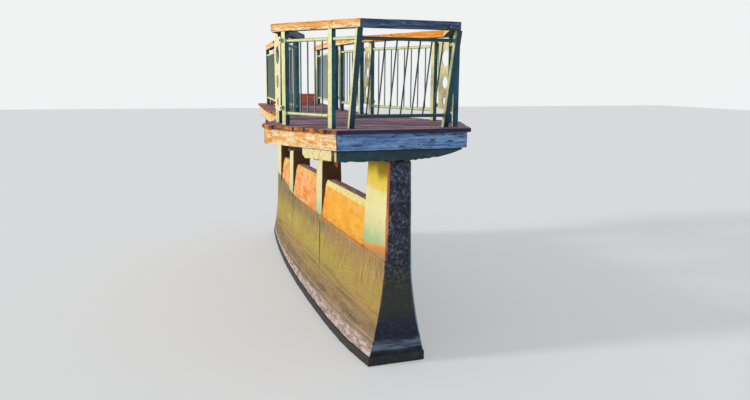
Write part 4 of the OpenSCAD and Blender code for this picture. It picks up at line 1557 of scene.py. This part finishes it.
@dataclass
class Deck:
    """The planks with their screws, the joists, the fascia boards and the step."""

    pitch: float = 0.145
    gap: float = 0.008
    seam: float = 0.0004
    ragged: float = 0.011
    relief: float = 0.003
    cells: tuple[int, int] = (26, 7)
    seed: int = 11
    screw: Fixing = Fixing("deck_screws", "beam_paint", across=0.011, height=0.002, washer=0.5, sides=8)
    screw_pitch: float = 0.3
    screw_share: float = 0.55
    wide_plank: float = 1.35
    end_clear: float = 0.04
    narrowest: float = 0.03
    tread: float = 0.036
    treads: int = 3
    tread_half: float = 0.424
    step_back: float = 0.620
    step_depth: float = 0.260

    def corners(self, outline: Sequence[Vector], near: float, far: float) -> list[Vector]:
        """Return a plank's corners between two lines across an outline, front left first."""
        a, b = reach_at(outline, near), reach_at(outline, far)
        return [Vector((a[0], near)), Vector((a[1], near)), Vector((b[0], far)), Vector((b[1], far))]

    def rows(self) -> list[list[Vector]]:
        """Return the plan corners of every plank from the front to the walkway's end.

        Returns:
            For each plank its four corners, front left first.
        """
        outline = inset(PLAN.fascia(), -PLAN.overhang)
        start, fold = outline[0].y, outline[4].y
        count = round((fold - start) / self.pitch)
        step = (fold - start) / count
        low, high = self.seam, step - self.gap
        planks = [self.corners(outline, start + k * step + low, start + k * step + high)
                  for k in range(count)]
        turn = Matrix.Rotation(PLAN.angle, 2)
        pivot = Vector((0, PLAN.bend))
        local = [turn @ (p - pivot) + pivot for p in outline]
        first, last = local[7].y, local[5].y
        count = round((last - first) / self.pitch)
        step = (last - first) / count
        back = turn.transposed()
        wedge = [back @ (Vector((x, first - self.gap)) - pivot) + pivot
                 for x in reach_at(local, first + 0.001)]
        planks.append([Vector((outline[7].x, fold + low)), Vector((outline[4].x, fold + low)), *wedge])
        for k in range(count):
            plank = self.corners(local, first + k * step + low, first + k * step + high)
            planks.append([back @ (p - pivot) + pivot for p in plank])
        return planks

    def lay(self, name: str, planks: Sequence[Sequence[Vector]], top: float, thickness: float,
            material: Material, tree: Tree) -> Mesh:
        """Lay boards on their plan corners.

        Args:
            name: The mesh's name.
            planks: The four plan corners of each board, front left first.
            top: Height of their upper face.
            thickness: Their thickness.
            material: Their finish.
            tree: The Geometry Nodes tree of the boards.

        Returns:
            The boards as one mesh.
        """
        names = ("front_left", "front_right", "back_left", "back_right")
        carried = {key: [PLAN.spot(plank[i], top) for plank in planks] for i, key in enumerate(names)}
        along, across = self.cells
        values = {"Thickness": thickness, "Cells along": along, "Cells across": across,
                  "Ragged ends": self.ragged, "Relief": self.relief, "Seed": self.seed, "Material": material}
        return run_tree(tree, name, [Vector((0, 0, 0))] * len(planks), carried, values, arris=0.003)

    def screws(self, planks: Sequence[Sequence[Vector]]) -> list[Vector]:
        """Return the places of the screws: two in every plank over each joist.

        Args:
            planks: The plan corners of each plank.

        Returns:
            The places in the frame.
        """
        places = []
        for front_left, front_right, back_left, back_right in planks:
            run = (front_right - front_left).normalized()
            width = (front_right - front_left).length
            wide = [k * self.screw_pitch for k in range(-3, 4)]
            lines = wide if width > self.wide_plank else [-0.5, 0.0, 0.5]
            middle = (front_left + front_right + back_left + back_right) / 4
            half = (back_left - front_left).dot(Vector((-run.y, run.x))) / 2
            for x in lines:
                if abs(x) > width / 2 - self.end_clear or half < self.narrowest:
                    continue
                for side in (-1, 1):
                    spot = middle + run * x + Vector((-run.y, run.x)) * side * half * self.screw_share
                    places.append(PLAN.spot(spot, PLAN.deck_top - self.relief * 0.6))
        return places

    def build_step(self, material: Material, tree: Tree) -> None:
        """Build the entrance step: a worn box under three tread boards.

        Args:
            material: Its finish.
            tree: The Geometry Nodes tree of the boards.
        """
        body = worn_copy("entrance_step", Wear(arris=0.004, cells=(0.08, 0.04, 0.04), depth=0.003,
                                               density=(2, 24, 24), along_board=True))
        low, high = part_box("entrance_step")
        share = (high[2] - low[2] - self.tread) / (high[2] - low[2])
        for vert in body.vertices:
            vert.co.z = low[2] + (vert.co.z - low[2]) * share
        show(body, "worn_step", material, "fascia_timber", ["entrance_step"])
        half, start = self.tread_half, PLAN.far - self.step_back + PLAN.post_side
        boards = []
        for k in range(self.treads):
            a = start + self.step_depth * k / self.treads + 0.001
            b = start + self.step_depth * (k + 1) / self.treads - 0.004
            boards.append([PLAN.past_bend(x, along) for along in (a, b) for x in (-half, half)])
        treads = self.lay("step_treads", boards, high[2], self.tread, material, tree)
        show(treads, "step_treads", material, "fascia_timber")

    def dress(self, tree: Tree, fixings: Tree) -> None:
        """Build the deck and dress it.

        Args:
            tree: The Geometry Nodes tree of the boards.
            fixings: The one of the fixings.
        """
        planks = self.rows()
        finish = Planks().material()
        head = [p for p in planks if (p[0].y + p[2].y) / 2 < PLAN.neck]
        walk = [p for p in planks if (p[0].y + p[2].y) / 2 >= PLAN.neck]
        for part, rows in (("head", head), ("walkway", walk)):
            mesh = self.lay(part + "_planks", rows, PLAN.deck_top, PLAN.plank, finish, tree)
            show(mesh, part + "_planks", finish, "deck_planks", [part + "_deck"])
        steel = BareSteel("screw_steel", low="231d1b", high="4a4340").material()
        places = self.screws(planks)
        self.screw.dress(fixings, places, [Vector((0, 0, 1))] * len(places), steel)
        self.build_step(Timber(TimberTone.PINK, peel=0.3).material(), tree)
        board = Wear(arris=0.005, rounds=2, cells=(0.06, 0.0, 0.022), depth=0.004, density=(1.6, 34.0, 34.0),
                     chips=0.012, along_board=True)
        # The front fascia is in painted shade; the others carry painted sunlight, with painted shade on faces
        # turned to the front and to the right.
        warm = Timber(TimberTone.WARM, peel=0.55, shade_tone=TimberTone.COOL).material()
        cool = Timber(TimberTone.COOL, peel=0.42, scratches=0.015).material()
        show_worn(["front_fascia"], board, cool, "fascia_timber")
        show_worn([*pairs("flare_fascia", "rear_fascia", "walkway_fascia"), "end_fascia"], board, warm,
                  "fascia_timber")
        joist = Wear(arris=0.003, rounds=1, cells=(0.2, 0.0, 0.04), depth=0.003, density=(2, 20, 20),
                     along_board=True)
        dark = Timber(TimberTone.DARK, peel=0.1).material()
        show_worn(["head_joists", "walkway_joists"], joist, dark, "joist_timber")


@dataclass
class Railing:
    """The painted railing sections and the couplings on their tubes."""

    tube: float = 0.036
    clear: float = 0.002
    post_reach: float = 0.85
    coupling: Fixing = Fixing("tube_couplings", "railing_paint", across=0.050, height=0.024, washer=1.06,
                              sides=24, arris=0.001)

    def coupling_places(self) -> tuple[list[Vector], list[Vector]]:
        """Return the places of the couplings and the directions of their tubes.

        Returns:
            The places and, in the same order, the directions.
        """
        places, axes = [], []
        stand = PLAN.post_side / 2 + self.coupling.height / 2
        for side in Side:
            posts = PLAN.posts(side)
            for i in range(0, 8, 2):
                run = (posts[i + 1] - posts[i]).normalized()
                for rise in (PLAN.low_tube, PLAN.high_tube):
                    for post, way in ((posts[i], run), (posts[i + 1], -run)):
                        places.append(PLAN.spot(post + way * stand, PLAN.deck_top + rise))
                        axes.append(Vector((run.x, run.y, 0)))
        for rise in (PLAN.low_tube, PLAN.high_tube):
            for way in (-1, 1):
                spot = Vector((way * (PLAN.lean_half - stand), PLAN.lean_at(rise)))
                places.append(PLAN.spot(spot, PLAN.deck_top + rise))
                axes.append(Vector((1, 0, 0)))
        return places, axes

    def mark_slim(self, mesh: Mesh) -> None:
        """Mark the faces of the balusters, which stand clear of the posts between the tubes.

        Args:
            mesh: A railing section.
        """
        posts = [PLAN.spot(p, 0.0) for side in Side for p in PLAN.posts(side)]
        radius = self.tube / 2 + self.clear
        low, high = PLAN.deck_top + PLAN.low_tube + radius, PLAN.deck_top + PLAN.high_tube - radius
        marks = []
        for face in mesh.polygons:
            x, y, z = face.center
            at_post = any(math.hypot(x - p.x, y - p.y) < PLAN.post_side * self.post_reach for p in posts)
            outer = abs(x) > PLAN.lean_half - PLAN.post_side
            leaning = outer and y < PLAN.front + PLAN.lean_foot + PLAN.post_side
            marks.append(1.0 if low < z < high and not at_post and not leaning else 0.0)
        mesh.attributes.new("slim", "FLOAT", "FACE").data.foreach_set("value", marks)

    def dress(self, fixings: Tree) -> None:
        """Build the sections and their couplings and paint them.

        Args:
            fixings: The Geometry Nodes tree of the fixings.
        """
        paint = SteelPaint("railing_paint").material()
        # The front railing is darker teal all over, painted shade.
        dark = SteelPaint("front_railing_paint", body="2c6160", shade="174b58", slim_sunny="5b7a70",
                          slim_body="2c5a58", slim_shade="153f4a").material()
        wear = Wear(arris=0.005, rounds=2, sharp=SHARP_STEEL)
        front = "front_railing"
        for node in (front, *pairs("top_link", "flare_railing", "rear_railing", "walkway_railing",
                                   "entrance_railing")):
            mesh = worn_copy(node, wear)
            self.mark_slim(mesh)
            show(mesh, "painted_" + node, dark if node == front else paint, "railing_paint", [node])
        places, axes = self.coupling_places()
        self.coupling.dress(fixings, places, axes, paint)


@dataclass
class CornerPlates:
    """The perforated plates, the curved end plates and the bolts in their lugs."""

    thickness: float = 0.010
    low: float = 0.148
    high: float = 0.960
    lug: float = 0.046
    lug_middle: float = 0.9
    gap: float = 0.0003
    bolt: Fixing = Fixing("plate_bolts", "plate_paint", across=0.024, height=0.010, washer=1.3, sides=6,
                          arris=0.0008)
    bolt_out: float = 0.35

    def bolt_places(self) -> tuple[list[Vector], list[Vector]]:
        """Return the places of the bolts on the outer faces of the lugs, and their directions.

        Returns:
            The places and, in the same order, the directions.
        """
        places, axes = [], []
        rises = (self.low + self.lug * self.lug_middle, self.high - self.lug * self.lug_middle)
        for side in Side:
            posts = PLAN.posts(side)
            runs = [(posts[i + 1] - posts[i]).normalized() for i in range(7)]
            for i in (1, 3, 5):
                run = runs[i]
                out = Vector((-run.y, run.x)) if side is Side.LEFT else Vector((run.y, -run.x))
                after = runs[0] if side is Side.LEFT and i == 1 else runs[i + 1]
                off = max(PLAN.stand_off(run, runs[i - 1]), PLAN.stand_off(run, after))
                off += self.gap + self.thickness + self.bolt.height * self.bolt_out
                for rise in rises:
                    for post in (posts[i], posts[i + 1]):
                        places.append(PLAN.spot(post + out * off, PLAN.deck_top + rise))
                        axes.append(Vector((out.x, out.y, 0)))
        return places, axes

    def dress(self, fixings: Tree) -> None:
        """Build the plates and their bolts and paint them.

        Args:
            fixings: The Geometry Nodes tree of the fixings.
        """
        # The end plates take a brighter yellow on faces turned to the left: painted sunlight.
        paint, bright = (
            SteelPaint(name, sunny=sunny, body="a9c79a", shade="5a9a80", rust_share=0.1).material()
            for name, sunny in (("plate_paint", "f5e9b6"), ("end_plate_paint", "ffee96")))
        wear = Wear(arris=0.0015, rounds=2, sharp=SHARP_STEEL)
        for node in sorted(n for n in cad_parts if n.endswith("_plate")):
            finish = bright if node.endswith("end_plate") else paint
            show_worn([node], wear, finish, "plate_paint", "painted_")
        places, axes = self.bolt_places()
        self.bolt.dress(fixings, places, axes, BareSteel("bolt_steel").material())


@dataclass
class Handrails:
    """The mitred timbers that lie on the posts."""

    wear: Wear = Wear(arris=0.008, rounds=3, cells=(0.05, 0.03, 0.022), depth=0.005,
                      density=(1.8, 30.0, 30.0), chips=0.012, along_board=True)

    def dress(self) -> None:
        """Build the timbers and dress them."""
        # The front handrail is in painted shade; the others carry painted sunlight, with painted shade on
        # faces turned to the front and to the right.
        cool = Timber(TimberTone.SLATE, peel=0.34, scratches=0.02).material()
        warm = Timber(TimberTone.WARM, peel=0.5, paint_low=True, shade_tone=TimberTone.SLATE).material()
        bright = Timber(TimberTone.BRIGHT, peel=0.4, shade_tone=TimberTone.SLATE).material()
        for nodes, finish in ((["front_handrail"], cool), (pairs("flare_handrail"), warm),
                              (pairs("rear_handrail"), bright), (pairs("walkway_handrail"), warm)):
            show_worn(nodes, self.wear, finish, "handrail_timber")


@dataclass
class Studio:
    """The pale floor, the lamps and the camera at the photograph's angle."""

    floor_half: float = 60.0
    floor_colour: tuple[float, ...] = (0.62, 0.63, 0.65, 1.0)
    floor_glow: float = 0.28
    lens: float = 33.1
    sensor: float = 36.0
    yaw: float = math.radians(19.58)
    pitch: float = math.radians(-10.124)
    roll: float = math.radians(0.502)
    stand: tuple[float, float, float] = (-2.716, -10.106, 3.194)
    sun: float = 2.1
    sun_colour: tuple[float, float, float] = (1.0, 0.955, 0.87)
    sun_spread: float = math.radians(9)
    sun_way: tuple[float, float, float] = (0.93, -0.10, -0.27)
    sky: float = 0.5
    sky_colour: tuple[float, ...] = (0.93, 0.97, 1.0, 1.0)
    backdrop: float = 0.95
    backdrop_colour: tuple[float, ...] = (0.93, 0.935, 0.94, 1.0)

    @staticmethod
    def seen(g: Graph) -> Socket:
        """Return one for the rays that are seen and none for those that light the object.

        Args:
            g: The tree that asks.

        Returns:
            The mask.
        """
        rays = g.add("ShaderNodeLightPath").outputs
        mirrored = g.calc("MAXIMUM", rays["Is Glossy Ray"], rays["Is Transmission Ray"])
        return g.calc("MAXIMUM", rays["Is Camera Ray"], mirrored)

    @staticmethod
    def place(name: str, data: Any) -> bpy.types.Object:
        """Put data into the scene as an object and return it.

        Args:
            name: The object's name.
            data: Its mesh, lamp or camera.

        Returns:
            The object.
        """
        thing = bpy.data.objects.new(name, data)
        bpy.context.scene.collection.objects.link(thing)
        return thing

    @staticmethod
    def nodes_of(owner: Any) -> Graph:
        """Return the emptied node tree of a material or a world.

        Args:
            owner: The material or world.

        Returns:
            Its graph.
        """
        owner.use_nodes = True
        owner.node_tree.nodes.clear()
        return Graph(owner.node_tree)

    def floor(self) -> None:
        """Lay the pale floor, which keeps the object's shadow."""
        mesh = bpy.data.meshes.new("floor")
        h = self.floor_half
        mesh.from_pydata([(-h, -h, 0), (h, -h, 0), (h, h, 0), (-h, h, 0)], [], [(0, 1, 2, 3)])
        floor = self.place("floor", mesh)
        material = bpy.data.materials.new("floor")
        g = self.nodes_of(material)
        matt = g.add("ShaderNodeBsdfDiffuse", {"Color": self.floor_colour})
        glow = g.add("ShaderNodeEmission", {
            "Color": (1.0, 1.0, 1.0, 1.0), "Strength": g.times(self.seen(g), self.floor_glow)})
        both = g.add("ShaderNodeAddShader", {0: matt, 1: glow})
        g.add("ShaderNodeOutputMaterial", {"Surface": both})
        mesh.materials.append(material)

    def lamps(self) -> None:
        """Light the object with a soft warm key from the left and an even sky."""
        lamp = bpy.data.lights.new("key", "SUN")
        lamp.energy, lamp.angle, lamp.color = self.sun, self.sun_spread, self.sun_colour
        self.place("key", lamp).rotation_euler = Vector(self.sun_way).to_track_quat("-Z", "Y").to_euler()
        world = bpy.data.worlds.new("sky")
        bpy.context.scene.world = world
        g = self.nodes_of(world)
        light = g.add("ShaderNodeBackground", {"Color": self.sky_colour, "Strength": self.sky})
        shown = g.add("ShaderNodeBackground", {"Color": self.backdrop_colour, "Strength": self.backdrop})
        mix = g.add("ShaderNodeMixShader", {0: self.seen(g), 1: light, 2: shown})
        g.add("ShaderNodeOutputWorld", {"Surface": mix})

    def camera(self) -> None:
        """Set the camera where the photograph was taken from."""
        level = math.cos(self.pitch)
        ahead = Vector((math.sin(self.yaw) * level, math.cos(self.yaw) * level, math.sin(self.pitch)))
        right = Vector((math.cos(self.yaw), -math.sin(self.yaw), 0))
        up = right.cross(ahead)
        c, s = math.cos(self.roll), math.sin(self.roll)
        right, up = right * c + up * s, up * c - right * s
        data = bpy.data.cameras.new("camera")
        data.lens, data.sensor_width, data.sensor_fit = self.lens, self.sensor, "HORIZONTAL"
        camera = self.place("camera", data)
        turn = Matrix((right, up, -ahead)).transposed().to_4x4()
        camera.matrix_world = Matrix.Translation(Vector(self.stand)) @ turn
        bpy.context.scene.camera = camera

    def build(self) -> None:
        """Set up the floor, the lamps, the camera and the plain view of colours."""
        self.camera()
        self.floor()
        self.lamps()
        bpy.context.scene.view_settings.view_transform = "Standard"


def main() -> None:
    """Build and dress the whole object in order."""
    logging.basicConfig(level=logging.INFO, format="%(name)s %(message)s")
    Studio().build()
    boards, fixings = board_tree(), fixing_tree()
    Pier().dress()
    Steelwork().dress()
    Deck().dress(boards, fixings)
    Railing().dress(fixings)
    CornerPlates().dress(fixings)
    Handrails().dress()
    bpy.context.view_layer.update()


if __name__ == "__main__":
    main()
